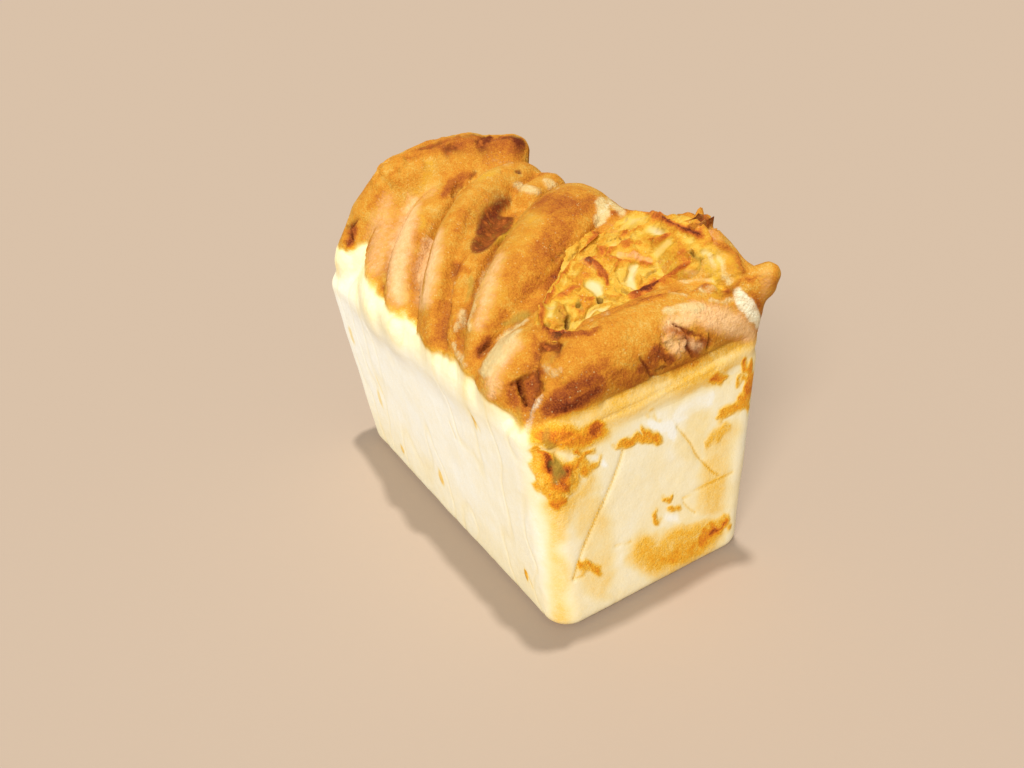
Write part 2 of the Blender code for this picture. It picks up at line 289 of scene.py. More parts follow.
def sight_lines(p, q):
    """Start points on the core and outward directions, for shares p along the loaf and q across it."""
    start = np.stack([p * INNER_HALF_X, q * INNER_HALF_Y, np.full_like(p, INNER_HEIGHT)], axis=-1)
    upright = np.sqrt(np.maximum((1 - p * p) * (1 - q * q), 0))
    way = np.stack([fan(p), fan(q), upright], axis=-1)
    return start, way / np.linalg.norm(way, axis=-1, keepdims=True)


def reach_of(start, way):
    """How far out along each line its outermost dough lies: steps inwards, then halves the step."""
    reach = np.full(start.shape[:-1], REACH)
    looking = np.ones(reach.shape, bool)
    for _ in range(int(REACH / STEP)):
        trial = start[looking] + (reach[looking] - STEP)[:, None] * way[looking]
        outside = whole_gap(trial) > 0
        index = np.flatnonzero(looking)
        reach.flat[index[outside]] -= STEP
        looking.flat[index[~outside]] = False
        if not looking.any():
            break
    low, high = reach - STEP, reach.copy()
    for _ in range(HALVINGS):
        middle = (low + high) / 2
        inside = whole_gap(start + middle[..., None] * way) < 0
        low, high = np.where(inside, middle, low), np.where(inside, high, middle)
    return (low + high) / 2


def crown_points(p, q):
    start, way = sight_lines(p, q)
    return start + reach_of(start, way)[..., None] * way, start, way


def even_shares(cells, along):
    """Shares from -1 to 1 that cut the crown into pieces of even length, measured over three lines."""
    fine = np.linspace(-1, 1, FINE_SHARES)
    p, q = np.meshgrid(fine, MEASURED_AT, indexing="ij")
    if not along:
        p, q = q, p
    points = crown_points(p, q)[0]
    steps = np.linalg.norm(np.diff(points, axis=0), axis=-1).mean(axis=1)
    length = np.concatenate([[0], np.cumsum(steps)])
    return np.interp(np.linspace(0, length[-1], cells + 1), length, fine)


# %% The crown's grid and the walls' rings
CROWN_COLUMNS = 380
CROWN_ROWS = 220
WALL_RINGS = 66
WALL_TOP = INNER_HEIGHT
FOOT_HEIGHTS = (5.0, 3.6, 2.4, 1.4, 0.6, 0.15, 0.0)
FLOOR_CLEAR = 0.05


def rim_loop(grid):
    """The grid's border, once round, without repeating a corner."""
    return np.concatenate([grid[:-1, 0], grid[-1, :-1], grid[:0:-1, -1], grid[0, :0:-1]])


def wall_points(start, way, heights):
    """Points found by level sight lines: one ring for each height, from the crown's border down."""
    starts = np.repeat(rim_loop(start)[None], len(heights), axis=0)
    ways = np.repeat(rim_loop(way)[None], len(heights), axis=0)
    starts[..., 2] = np.maximum(heights, FLOOR_CLEAR)[:, None]
    points = starts + reach_of(starts, ways)[..., None] * ways
    points[..., 2] = heights[:, None]
    return points


p_line = even_shares(CROWN_COLUMNS, True)
q_line = even_shares(CROWN_ROWS, False)
crown, crown_start, crown_way = crown_points(*np.meshgrid(p_line, q_line, indexing="ij"))
wall_heights = np.concatenate([np.linspace(WALL_TOP, FOOT_HEIGHTS[0], WALL_RINGS)[:-1], FOOT_HEIGHTS])
walls = wall_points(crown_start, crown_way, wall_heights)
walls[0] = rim_loop(crown)
print("crown grid", crown.shape, "wall rings", walls.shape)

# %% [markdown]
# ## Noise, as arrays
#
# Baked dough is uneven at every scale. Blender's noise textures only reach the shader, and the forms
# have to be in the mesh, so the same ideas are written here for arrays: random numbers at the corners of
# a lattice, blended smoothly, and the distance to scattered points for bubbles and pits.

# %% Lattice noise and bubbles
Noise = namedtuple("Noise", "height size layers seed")
Twist = namedtuple("Twist", "size amount seed")
HASH_X, HASH_Y, HASH_Z = np.uint32(73856093), np.uint32(19349663), np.uint32(83492791)
HASH_FIRST, HASH_SECOND = np.uint32(2246822519), np.uint32(3266489917)
HASH_SPAN = 2.0**32
SEED_STEP, SEED_START = 7919, 17
SHIFTS = (15, 13, 16)
RIDGE_SLOPE = 2.5


def cell_number(cells, seed):
    """A number from 0 to 1 for each whole-numbered cell, always the same for that cell and seed."""
    x, y, z = (cells[..., axis].astype(np.uint32) for axis in range(3))
    first, second, third = (np.uint32(shift) for shift in SHIFTS)
    mixed = x * HASH_X ^ y * HASH_Y ^ z * HASH_Z ^ np.uint32(seed * SEED_STEP + SEED_START)
    mixed = (mixed ^ (mixed >> first)) * HASH_FIRST
    mixed = (mixed ^ (mixed >> second)) * HASH_SECOND
    return (mixed ^ (mixed >> third)) / HASH_SPAN


def soft_noise(points, size, seed):
    """From -1 to 1: a random number at each corner of a lattice of that size, blended by smooth steps."""
    scaled = points / size
    low = np.floor(scaled)
    part = scaled - low
    ease = part * part * (3 - 2 * part)
    total = np.zeros(points.shape[:-1])
    for corner in itertools.product((0, 1), repeat=3):
        weight = np.prod(np.where(corner, ease, 1 - ease), axis=-1)
        total += weight * cell_number((low + corner).astype(np.int64), seed)
    return 2 * total - 1


def layered_noise(points, size, layers, seed):
    """Soft noise in layers, each half the size and half the height of the one before."""
    total = np.zeros(points.shape[:-1])
    for layer in range(layers):
        total += soft_noise(points, size / 2**layer, seed + layer) / 2**layer
    return total / (2 - 2.0 ** (1 - layers))


def grain(points, *noises):
    """Summed layered noises, each at its own height."""
    return sum(noise.height * layered_noise(points, *noise[1:]) for noise in noises)


def ridged_noise(points, size, layers, seed):
    """From 0 to 1, with sharp crests where layered noise changes sign."""
    return 1 - np.minimum(np.abs(layered_noise(points, size, layers, seed)) * RIDGE_SLOPE, 1)


def ridges(points, noise):
    """Ridged noise at its own height."""
    return noise.height * ridged_noise(points, *noise[1:])


def bubbles(points, size, seed):
    """Distance to the nearest and second nearest of points strewn one to a lattice cell."""
    scaled = points / size
    low = np.floor(scaled).astype(np.int64)
    near = np.full(points.shape[:-1], np.inf)
    next_near = near.copy()
    for shift in itertools.product((-1, 0, 1), repeat=3):
        cell = low + shift
        centre = cell + np.stack([cell_number(cell, seed + axis) for axis in range(3)], axis=-1)
        away = np.linalg.norm(scaled - centre, axis=-1)
        next_near = np.minimum(next_near, np.maximum(near, away))
        near = np.minimum(near, away)
    return near * size, next_near * size


def warped(points, size, amount, seed):
    """The points, each shifted by three noises, so that patterns on them lose their straight edges."""
    shift = np.stack([soft_noise(points, size, seed + axis) for axis in range(3)], axis=-1)
    return points + amount * shift


def smooth_step(share):
    share = np.clip(share, 0, 1)
    return share * share * (3 - 2 * share)


# %% [markdown]
# ## Where the photo's camera sees the dough
#
# Many places are easier to read off the photo than off the loaf, so the camera comes early. It says which
# point of the dough each photo pixel shows.

# %% The photo's camera
CAMERA_PLACE = np.array([324.285, -168.418, 260.494])
CAMERA_AZIMUTH = 63.399
CAMERA_ELEVATION = 29.260
CAMERA_ROLL = -7.426
FOCAL_PIXELS = 900.0
PHOTO_WIDTH, PHOTO_HEIGHT = 1024.0, 768.0


def camera_axes():
    """The camera's right, up and back directions: a sight line from two angles, then a roll about it."""
    azimuth, elevation, roll = np.radians([CAMERA_AZIMUTH, CAMERA_ELEVATION, CAMERA_ROLL])
    back = np.array([np.sin(azimuth) * np.cos(elevation), -np.cos(azimuth) * np.cos(elevation),
                     np.sin(elevation)])
    right = np.array([np.cos(azimuth), np.sin(azimuth), 0.0])
    up = np.cross(back, right)
    return np.cos(roll) * right + np.sin(roll) * up, np.cos(roll) * up - np.sin(roll) * right, back


CAMERA_RIGHT, CAMERA_UP, CAMERA_BACK = camera_axes()

# %% The dough's points as the photo shows them
DEPTH_WEIGHT = 0.15
DEPTH_REACH = 12.0
PIXEL_REACH = 3.0
PIXEL_SLACK = 0.5
FRONT_DEPTH = 5.0


def in_photo(points):
    """Each point's photo pixel, and its depth, weighed so that it counts little beside the pixels."""
    away = points - CAMERA_PLACE
    depth = -(away @ CAMERA_BACK)
    u = PHOTO_WIDTH / 2 + FOCAL_PIXELS * (away @ CAMERA_RIGHT) / depth
    v = PHOTO_HEIGHT / 2 - FOCAL_PIXELS * (away @ CAMERA_UP) / depth
    return np.stack([u, v, DEPTH_WEIGHT * depth], axis=-1)


DOUGH = np.concatenate([crown.reshape(-1, 3), walls.reshape(-1, 3)]).astype(np.float32)
DOUGH_SEEN = in_photo(DOUGH)


def seen_depth(u, v):
    """The weighed depth of the dough that the photo shows at a pixel."""
    off = np.hypot(DOUGH_SEEN[:, 0] - u, DOUGH_SEEN[:, 1] - v)
    near = np.flatnonzero(off < max(PIXEL_REACH, off.min() + PIXEL_SLACK))
    depth = DOUGH_SEEN[near, 2]
    front = depth < depth.min() + FRONT_DEPTH * DEPTH_WEIGHT
    return depth[front][off[near][front].argmin()]


print("dough points:", len(DOUGH), "least depth, mm:", (DOUGH_SEEN[:, 2].min() / DEPTH_WEIGHT).round(1))

# %% [markdown]
# ## Named places on the loaf
#
# The photo shows where the crust is burnt, blushed, torn or pitted. Painting by hand isn't repeatable, so
# each place has a name and a shape, and a function turns it into a share from 0 to 1 at every vertex. The
# same shares steer both the relief and the colours. Zones and lines are eggs and grooves in the tin's
# frame. A stroke is a name, an amount, and then its stops, each a photo pixel and a radius in pixels. It is
# measured along the photo's sight lines, once, on the vertices, so it stays where it is on the loaf.

# %% Zones, lines and strokes that cling to the dough
Zone = namedtuple("Zone", "centre half amount")
Line = namedtuple("Line", "width depth stops")
Stroke = namedtuple("Stroke", "amount stops")
ZONE_EDGE = 0.35
LINE_STEP = 3.0
NEAR_LINE = 9.0
FAR_FROM_LINE = 99.0
PIXEL_STEP = 4.0
TINY = 0.01


def on_dough(place):
    """The point of the dough's grids that is nearest to a place."""
    away = DOUGH - np.float32(place)
    return DOUGH[np.einsum("ij,ij->i", away, away).argmin()].astype(float)


def zones(*rows):
    """Zones from rows of x, y, z, three half lengths and an amount."""
    return [Zone(on_dough(row[:3]), row[3:6], row[6]) for row in rows]


def cut_up(stops, step, columns):
    """The stops spread evenly, about a step apart. Length along them is that of the first columns."""
    lengths = np.linalg.norm(np.diff(stops[:, :columns], axis=0), axis=1)
    along = np.concatenate([[0], np.cumsum(lengths)])
    wanted = np.linspace(0, along[-1], int(along[-1] / step) + 2)
    return np.stack([np.interp(wanted, along, column) for column in stops.T], axis=-1)


def smoothed(stops):
    """Inner stops moved towards the middle of their neighbours, with repeated stops dropped."""
    moved = np.linalg.norm(np.diff(stops[:, :3], axis=0), axis=1) > TINY
    stops = stops[np.append(True, moved)]
    stops[1:-1] = (stops[:-2] + 2 * stops[1:-1] + stops[2:]) / 4
    return stops


def line(width, depth, *stops):
    """A line through its stops, cut into short steps that each lie on the dough."""
    places = cut_up(np.array(stops, float), LINE_STEP, 3)
    return Line(width, depth, smoothed(np.stack([on_dough(place) for place in places])))


def strokes(**named):
    """Strokes by name, cut into short steps that each lie on the dough that the photo shows."""
    made = []
    for amount, *stops in named.values():
        u, v, radius = cut_up(np.array(stops, float), PIXEL_STEP, 2).T
        v = v + TINY * np.arange(len(v))
        depth = [seen_depth(*pixel) for pixel in zip(u, v)]
        made.append(Stroke(amount, np.column_stack([u, v, depth, radius])))
    return made


def zone_share(points, some_zones):
    """The largest share of any zone: its amount inside the egg shape, falling to 0 across its edge."""
    share = np.zeros(points.shape[:-1])
    for zone in some_zones:
        off = egg_share(points, zone.centre, zone.half)
        share = np.maximum(share, zone.amount * smooth_step((1 + ZONE_EDGE - off) / (2 * ZONE_EDGE)))
    return share


def stroke_share(points, some_strokes, edge):
    """The largest share of any stroke: its amount inside, falling to 0 across an edge in pixels.

    Dough far behind or in front of a stroke isn't touched by it.
    """
    seen = in_photo(points)
    share = np.zeros(points.shape[:-1])
    for each in some_strokes:
        wide = each.stops[:, 3].max() + edge
        reach = np.array([wide, wide, DEPTH_REACH * DEPTH_WEIGHT])
        low, high = each.stops[:, :3].min(axis=0) - reach, each.stops[:, :3].max(axis=0) + reach
        near = ((seen > low) & (seen < high)).all(axis=-1)
        gap = strand_gap(seen[near], each.stops)
        share[near] = np.maximum(share[near], each.amount * smooth_step(0.5 - gap / edge))
    return share


def line_distance(points, stops):
    """Distance to a line. Points outside its box aren't measured and count as far."""
    low, high = stops.min(axis=0) - NEAR_LINE, stops.max(axis=0) + NEAR_LINE
    near = ((points > low) & (points < high)).all(axis=-1)
    distance = np.full(points.shape[:-1], FAR_FROM_LINE)
    distance[near] = strand_gap(points[near], np.column_stack([stops, np.zeros(len(stops))]))
    return distance


def line_depth(points, lines):
    """Summed depth of V-shaped grooves: full on each line, falling away over its width."""
    total = np.zeros(points.shape[:-1])
    for each in lines:
        total += each.depth * np.exp(-line_distance(points, each.stops) / each.width)
    return total


def line_share(points, lines):
    """The largest share of any line: its depth on the line, falling away over its width."""
    share = np.zeros(points.shape[:-1])
    for each in lines:
        off = line_distance(points, each.stops) / each.width
        share = np.maximum(share, each.depth * np.exp(-off * off))
    return share


# %% Creases between the lobes, and the end wall's folds
CREASES = (
    line(2.6, 0.9, (-18, -52, 108), (-28, -47, 114), (-41, -38, 121), (-50, -30, 126), (-60, -20, 129)),
    line(1.5, 1.7, (9, -51, 105), (2, -47, 110), (-7, -42, 115), (-15, -37, 119), (-23, -28, 122),
         (-31, -19, 125), (-42, -4, 131), (-49, 12, 137)),
    line(1.3, 1.2, (36, -51, 107), (31, -48, 110), (24, -42, 115), (15, -35, 120), (6, -27, 125)),
    line(1.2, 1.8, (50, -50, 108), (42, -46, 112), (37, -42, 114), (32, -36, 118), (25, -28, 121),
         (12, -11, 127), (5, -3, 128), (-5, 10, 129)),
    line(1.4, 1.3, (58, -46, 111), (58, -38, 115), (58, -28, 118), (56, -19, 121)),
    line(1.0, 1.4, (92, -49, 101), (90, -46, 104), (86, -42, 110), (83, -37, 115), (81, -28, 119)),
    line(1.5, 1.2, (80, -28, 119), (83, -22, 119), (86, -12, 121), (86, 4, 122), (88, 20, 122)),
    line(1.3, 1.0, (57, -18, 121), (52, -9, 124), (44, 5, 128), (37, 19, 132), (32, 27, 135)),
    line(1.1, 1.2, (-27, 21, 136), (-31, 28, 138), (-35, 38, 138)),
    line(1.1, 1.2, (-14, 24, 133), (-18, 35, 134), (-21, 43, 129)),
)
DARK_WEB = line(1.7, 2.2, (14, -26, 125), (22, -31, 122), (28, -37, 118))
WEB_STRINGS = (
    line(0.8, 0.9, (6, -29, 125), (16, -34, 120), (26, -39, 116), (38, -45, 112), (46, -50, 108)),
    line(0.7, 0.8, (27, -41, 116), (36, -45, 113), (46, -49, 110), (52, -51, 107)),
    line(0.7, 0.7, (12, -22, 126), (19, -25, 124), (27, -33, 120)),
)
BAND_LINES = (
    line(1.2, 1.2, (102, -22, 101), (103, -5, 101.5), (103, 15, 102), (103, 40, 103)),
    line(0.9, 0.8, (101, -42, 92), (102, -24, 93.5), (102, -4, 95.5), (103, 19, 98), (103, 40, 101)),
    line(0.6, 0.5, (102, -8, 91), (102, 6, 94), (102, 26, 96)),
)
# The creases' flanks are browned as painted shade.
FLANK_SHADE_WIDTH = 2.6
SHADED_FLANKS = [each._replace(width=FLANK_SHADE_WIDTH, depth=1.0) for each in CREASES]
print("creases:", len(CREASES), "band lines:", len(BAND_LINES))

# %% Zones of rough, flaky and pitted crust
CRAGS = zones(
    (-80, -14, 142, 9, 12, 12, 0.8), (-76, -3, 149, 8, 8, 7, 0.8), (-79, 12, 152, 10, 14, 4, 0.35),
    (-66, 30, 150, 7, 12, 6, 0.35), (76, 41, 142, 12, 7, 7, 1.7), (66, 38, 141, 9, 4, 4, 0.7),
    (-80, -42, 117, 5, 5, 8, 0.7), (-10, 9, 130, 6, 6, 5, 0.5), (100, -44, 78, 4, 8, 12, 0.8),
    (92, -41, 109, 3, 3, 3, 0.8), (84, 42, 138, 6, 4, 4, 0.7))
FLAKES = zones((103, 9, 113, 6, 8, 8, 1.0), (42, 2, 130, 5, 6, 5, 0.9), (105, -5, 108, 4, 7, 5, 0.6))

# %% Hollows, with their depths in millimetres
# The pocket's bed is painted shade, stored as a dark share and not as a depth.
POCKET_BED_SHADE = strokes(
    bed=(1.0, (478, 233, 2.5), (484, 220, 5), (493, 211, 6.5), (503, 204, 6), (510, 200, 2.5)),
)
PITS = strokes(
    web_hole=(1.6, (556, 344, 1.4), (557, 349, 2.4), (557, 354, 1.4)),
    cavity_bed=(2.0, (521, 383, 2.2), (522, 391, 2), (524, 404, 1.4)),
    wall_top_slit=(1.5, (356, 221, 1.2), (349, 229, 2.6), (353, 240, 1.8)),
    swirl_bed=(1.6, (454, 195, 2.4), (456, 188, 3.6), (460, 183, 3.4)),
    roll_slot=(1.2, (708, 349, 1.7), (710, 343, 2.1), (710, 335, 1)),
)

# %% Burnt spots, cracks and dark edges, with painted shade in holes, hollows and creases
CHAR_AND_SHADE = strokes(
    slab_corner=(0.95, (500, 136, 2), (508, 136, 2.6), (518, 139, 4), (524, 145, 3.4)),
    slab_spot=(1.0, (490, 138, 4), (480, 142, 4.4), (481, 148, 3.4), (487, 152, 2)),
    slab_line=(0.9, (444, 150, 2.6), (452, 147, 3), (465, 149, 2.2), (482, 147, 2.2), (500, 149, 1.8)),
    slab_line_start=(0.6, (421, 148, 2.6), (430, 147, 3), (440, 143, 2.6)),
    slab_rim=(0.5, (455, 137, 1.6), (475, 135, 1.8), (495, 134, 1.6)),
    slab_drip=(0.8, (446, 153, 2.8), (449, 158, 1.4)),
    slab_under_corner=(0.8, (513, 145, 2.2), (522, 147, 2)),
    swirl_arc=(0.5, (440, 193, 1), (442, 177, 1.4), (448, 171, 1.7), (463, 162.5, 1.2), (483, 159, 0.9),
               (511, 158.5, 1), (520, 161, 1)),
    swirl_hollow=(0.5, (454, 195, 2.4), (456, 188, 4), (460, 184, 4)),
    swirl_left_spot=(0.65, (470, 178, 1.8), (475, 172, 2.2)),
    swirl_middle_spot=(0.5, (501, 172, 1.5)),
    swirl_right_spot=(0.9, (516, 171.5, 1.3), (520, 172, 2)),
    pocket_ring=(0.3, (474, 207, 1.3), (480, 198, 1.7), (487, 192, 2.2), (500, 190, 2)),
    pocket_top=(0.6, (493, 197, 1.5), (500, 194.5, 1.7), (508, 194, 1.3), (513, 195, 1)),
    pocket_low_edge=(0.4, (466, 228, 1.4), (466, 218, 2), (470, 210, 2)),
    wall_top_slit=(0.95, (358, 220, 1), (353, 224, 2), (349, 229, 2.8), (349, 234, 2.4), (355, 241, 1.4)),
    lobe_left_edge=(0.5, (481, 272, 0.9), (476, 281, 1), (471, 296, 1), (470, 302, 1)),
    web_upper_edge=(0.5, (508, 327, 1), (515, 323, 1), (529, 312, 0.9)),
    web_hole=(1.0, (556, 343, 2.0), (557, 349, 3.2), (557, 355, 2.2)),
    burst_low=(0.75, (555, 262, 2), (558, 258, 1.6), (562, 253, 1.4)),
    burst_right=(0.75, (565, 250, 1), (569, 251, 2), (571, 255, 1.2), (567, 258, 1)),
    burst_top=(0.6, (562, 243, 1.5)),
    burst_left_line=(0.7, (553, 240, 0.8), (549, 247, 0.8), (550, 253, 0.8)),
    burst_side=(0.65, (564, 264, 1.1), (564, 270, 1.3), (560, 275, 1.1)),
    lobe_foot_spot=(0.65, (538.5, 277.5, 1.8)),
    lobe_foot_mark=(0.5, (552, 284, 2), (547, 288, 1.4)),
    cavity_arch=(0.7, (512, 386, 2), (519, 381, 3), (526, 378, 3), (534, 376, 2.4), (538, 384, 2.4),
                 (534, 393, 2)),
    cavity_inside=(0.98, (521, 384, 2.4), (522, 391, 2.1), (523, 399, 1.9), (524, 406, 1.4)),
    corner_mark=(0.8, (541, 389, 1.4)),
    roll_crack=(0.85, (640, 358, 1), (645, 364, 1.9), (649, 369, 1.7), (651, 376, 2.1), (655, 378, 1.6)),
    roll_crack_branch=(0.7, (658, 373, 2), (662, 368, 2), (667, 367, 1)),
    plate_left_crack=(0.8, (661, 339, 1), (661, 347, 1.1), (664, 355, 1.2), (667, 362, 1.2)),
    plate_top_crack=(0.95, (674, 324, 1.2), (682, 328, 1.5), (687, 331, 2.2), (692, 333, 3)),
    plate_middle_crack=(0.6, (664, 344, 0.8), (675, 340, 0.9), (687, 338, 0.8)),
    plate_right_crack=(0.95, (688, 337, 1.2), (689, 342, 1.3), (688, 349, 2.1), (693, 357, 1.6)),
    plate_far_crack=(0.8, (696, 336, 1.3), (700, 334, 1.2), (701, 342, 1.2)),
    roll_slot=(0.85, (708, 349, 1.9), (710, 343, 2.3), (710, 334, 1.1)),
    tear_hole=(0.8, (763, 325, 1.3)),
    crag_tip=(0.9, (692, 219, 3), (701, 218, 4), (709, 224, 2.6)),
    crag_side=(0.7, (696, 229, 1.5), (709, 225, 1.7)),
    crag_left=(0.5, (652, 215, 1), (686, 222, 1.3)),
)

# %% Browner and redder crust, as extra heat, and painted shade along the roll's underside
BROWN = strokes(
    slab_top=(0.24, (408, 156, 3), (430, 148, 5), (460, 143, 6), (485, 142, 8), (517, 146, 8)),
    slab_left=(0.10, (395, 172, 3), (382, 190, 3), (370, 205, 3)),
    swirl=(0.30, (444, 194, 4), (450, 186, 6), (460, 179, 6), (470, 175, 4)),
    swirl_ring=(0.14, (443, 178, 3), (455, 167, 3), (480, 161, 3), (515, 162, 3)),
    pocket_far_wall=(0.09, (483, 240, 4), (492, 231, 5), (502, 224, 5), (511, 216, 4.5)),
    pocket_near_side=(0.10, (463, 213, 5), (458, 228, 6)),
    slice_spot=(0.24, (452, 272, 1.6), (457, 266, 3), (468, 269, 2)),
    slice_foot=(0.11, (440, 305, 6), (443, 322, 8), (440, 335, 7)),
    wall_top_side=(0.40, (354, 228, 4), (352, 240, 5), (350, 252, 4)),
    lobe_foot_left=(0.27, (481, 357, 1.6), (480, 350, 2), (483, 345, 3), (487, 341, 2)),
    lobe_low_left=(0.12, (481, 326, 3), (490, 330, 4), (505, 313, 5)),
    lobe_near_foot=(0.16, (522, 296, 6), (530, 287, 7), (540, 278, 7)),
    burst_foot=(0.26, (545, 283, 3), (550, 280, 4), (556, 276, 4), (563, 264, 2.4)),
    lobe_top=(0.18, (536, 202, 10), (560, 207, 12), (578, 207, 11), (588, 203, 8)),
    lobe_face=(0.15, (565, 222, 13), (555, 240, 14), (535, 262, 12)),
    lobe_edge=(0.10, (520, 300, 9), (512, 285, 9), (515, 262, 9)),
    small_lobe_side=(0.22, (535, 340, 1.4), (534, 347, 1.6), (535, 356, 1.4)),
    small_lobe_foot=(0.26, (508, 386, 5), (511, 396, 7), (520, 404, 6)),
    cavity=(0.26, (518, 384, 5), (526, 384, 6), (530, 392, 5), (527, 402, 4)),
    corner=(0.20, (540, 372, 5), (533, 384, 5)),
    # From here to the roll's right foot: browner crust along the roll's underside, partly painted shade.
    roll_foot=(0.30, (549, 411, 8), (563, 400, 13), (578, 392, 14), (595, 386, 13)),
    roll_foot_core=(0.40, (556, 411, 6), (572, 403, 8), (586, 397, 7), (598, 390, 5)),
    roll_over_foot=(0.16, (575, 382, 7), (590, 378, 9), (600, 365, 8)),
    roll_middle=(0.17, (612, 376, 9), (625, 378, 10), (640, 376, 9)),
    roll_cracks=(0.34, (643, 368, 7), (652, 362, 8), (658, 350, 7), (668, 360, 6)),
    roll_cracks_far=(0.26, (672, 330, 5), (685, 335, 6), (690, 350, 6), (703, 342, 6)),
    roll_right_foot=(0.15, (655, 372, 5), (680, 366, 4), (695, 362, 3)),
    ear_streak=(0.36, (745, 279, 1.3), (750, 280, 2.2), (754, 281, 1.5)),
    ear_rim=(0.20, (768, 259, 1.2), (775, 265, 1.2), (778, 273, 1.2), (776, 283, 1.2)),
    tear_edge=(0.18, (752, 295, 2.5), (756, 303, 2.6), (763, 317, 1.6)),
    crag_face=(0.12, (700, 228, 5), (710, 236, 5)),
)

# %% Pinkish places with painted sheen, golden, pale and white places, and olive painted shade
# Blush: the crust's pinkish tan, with painted sheen where light glances off slices, roll and ear.
BLUSH_AND_SHEEN = strokes(
    first_slice=(0.55, (388, 200, 7), (382, 222, 12), (378, 245, 13), (376, 268, 10)),
    second_slice=(0.95, (414, 203, 6), (407, 222, 10), (400, 245, 12), (396, 275, 11), (399, 298, 8)),
    third_slice=(1.0, (436, 232, 7), (430, 252, 10), (425, 275, 11), (424, 300, 8)),
    swirl_end=(0.6, (433, 190, 3), (424, 197, 3)),
    lobe_left=(0.7, (500, 258, 6), (491, 275, 8), (486, 300, 8), (478, 325, 6)),
    small_lobe=(0.9, (515, 340, 7), (502, 356, 9), (493, 372, 8), (493, 390, 6)),
    roll_end=(0.95, (670, 325, 7), (695, 312, 10), (715, 318, 13), (735, 324, 13), (750, 334, 9)),
    plates=(0.95, (669, 340, 6), (677, 348, 7), (684, 343, 6), (697, 346, 4)),
    ear=(0.4, (758, 268, 4), (765, 275, 6), (768, 285, 5), (765, 295, 4)),
    crag=(0.6, (705, 230, 6), (713, 240, 5)),
)
GOLD = strokes(
    slab_front=(0.7, (450, 157, 2), (460, 156, 3), (475, 156, 3), (482, 155, 2)),
    slab_left=(0.5, (430, 165, 6), (425, 180, 6), (415, 190, 6)),
    pocket_wall=(0.95, (490, 240, 4), (503, 234, 6), (512, 224, 5)),
    swirl_inside=(0.6, (497, 172, 3), (485, 175, 4), (480, 179, 4)),
    second_crease=(0.6, (418, 212, 3), (424, 220, 4), (420, 230, 3)),
    first_crease=(0.8, (384, 272, 2), (384, 282, 2.4), (386, 293, 2.4)),
    second_foot=(0.5, (405, 285, 4), (405, 300, 5), (407, 312, 3)),
    valley=(0.8, (463, 325, 1.6), (463, 335, 2), (464, 344, 1.6)),
    lobe_middle=(0.35, (535, 215, 9), (525, 235, 9), (515, 247, 7)),
    lobe_low=(0.4, (500, 300, 5), (505, 292, 5)),
    web=(0.5, (520, 335, 5), (525, 342, 4)),
    roll_foot=(0.5, (700, 352, 4), (715, 350, 5), (735, 345, 4), (750, 345, 3)),
)
PALE = strokes(
    ridge_far=(0.7, (514, 184, 3), (522, 187, 5), (530, 190, 5), (538, 192, 3)),
    ridge_near=(0.7, (545, 180, 3), (550, 184, 5), (556, 187, 4)),
    swirl_ridge=(0.5, (478, 165, 2.4), (495, 163, 3), (511, 164, 2.4)),
    pocket_inner_strip=(0.7, (478, 213, 1.4), (484, 206, 1.9), (489, 199, 2.1)),
    slice_strip=(0.6, (424, 240, 2.2), (430, 228, 1.6), (436, 222, 1.2)),
    valley_thread=(0.8, (452, 302, 1.6), (453, 290, 1.6), (455, 283, 1.5)),
    valley_strip=(0.85, (457, 330, 2.6), (461, 318, 2.6), (462, 310, 2.4)),
    valley_foot=(0.7, (455, 345, 3), (460, 355, 3.5), (466, 365, 3)),
    lobe_left_edge=(0.8, (499, 246, 1.6), (488, 266, 2.2), (478, 288, 3), (470, 315, 3), (470, 330, 2)),
    small_lobe_crest=(0.9, (524, 320, 4), (514, 330, 6), (503, 342, 7), (495, 358, 8), (488, 371, 7)),
    hole_edge=(0.6, (546, 366, 4), (552, 374, 5), (559, 369, 5)),
    roll_crest=(0.8, (668, 312, 5), (680, 308, 5), (700, 308, 5)),
    roll_top_seam=(0.8, (668, 290, 1.3), (676, 294, 1.5), (688, 295, 1.3)),
    lobe_end=(0.9, (600, 204, 6), (604, 211, 7), (599, 219, 6)),
    lobe_end_bump=(0.9, (611, 201, 6), (617, 207, 6), (622, 213, 4)),
)
WHITE = strokes(
    corner_strip=(0.6, (543, 394, 2), (538, 400, 3), (530, 414, 4), (527, 436, 4)),
    ear_tear=(0.98, (738, 292, 5), (742, 301, 9), (750, 310, 8), (757, 322, 4.5), (761, 330, 2.4)),
    lobe_end=(0.5, (613, 203, 2.5), (601, 212, 2.5)),
)
# Olive shade is painted shade in creases, along lobe edges, round the dark hole and in the corner's recess.
OLIVE_SHADE = strokes(
    lobe_left_shade=(0.7, (470, 278, 3), (471, 286, 2.6), (468, 294, 2.2), (466, 300, 1.6)),
    web_shade=(0.75, (506, 324, 2), (513, 319, 3), (520, 315, 3), (527, 311, 2.6)),
    hole_edge=(0.5, (550, 362, 2), (552, 357, 2)),
    corner_line=(0.5, (520, 408, 1.5), (521, 418, 1.6), (520, 432, 1.3)),
    band_start=(0.6, (547, 430, 4), (546, 440, 5), (551, 448, 5)),
    recess=(0.9, (551, 466, 3), (558, 465, 5), (560, 472, 5), (556, 478, 3)),
)
print("crown strokes:", sum(len(some) for some in (PITS, CHAR_AND_SHADE, BROWN, BLUSH_AND_SHEEN, GOLD, PALE, WHITE, OLIVE_SHADE)))
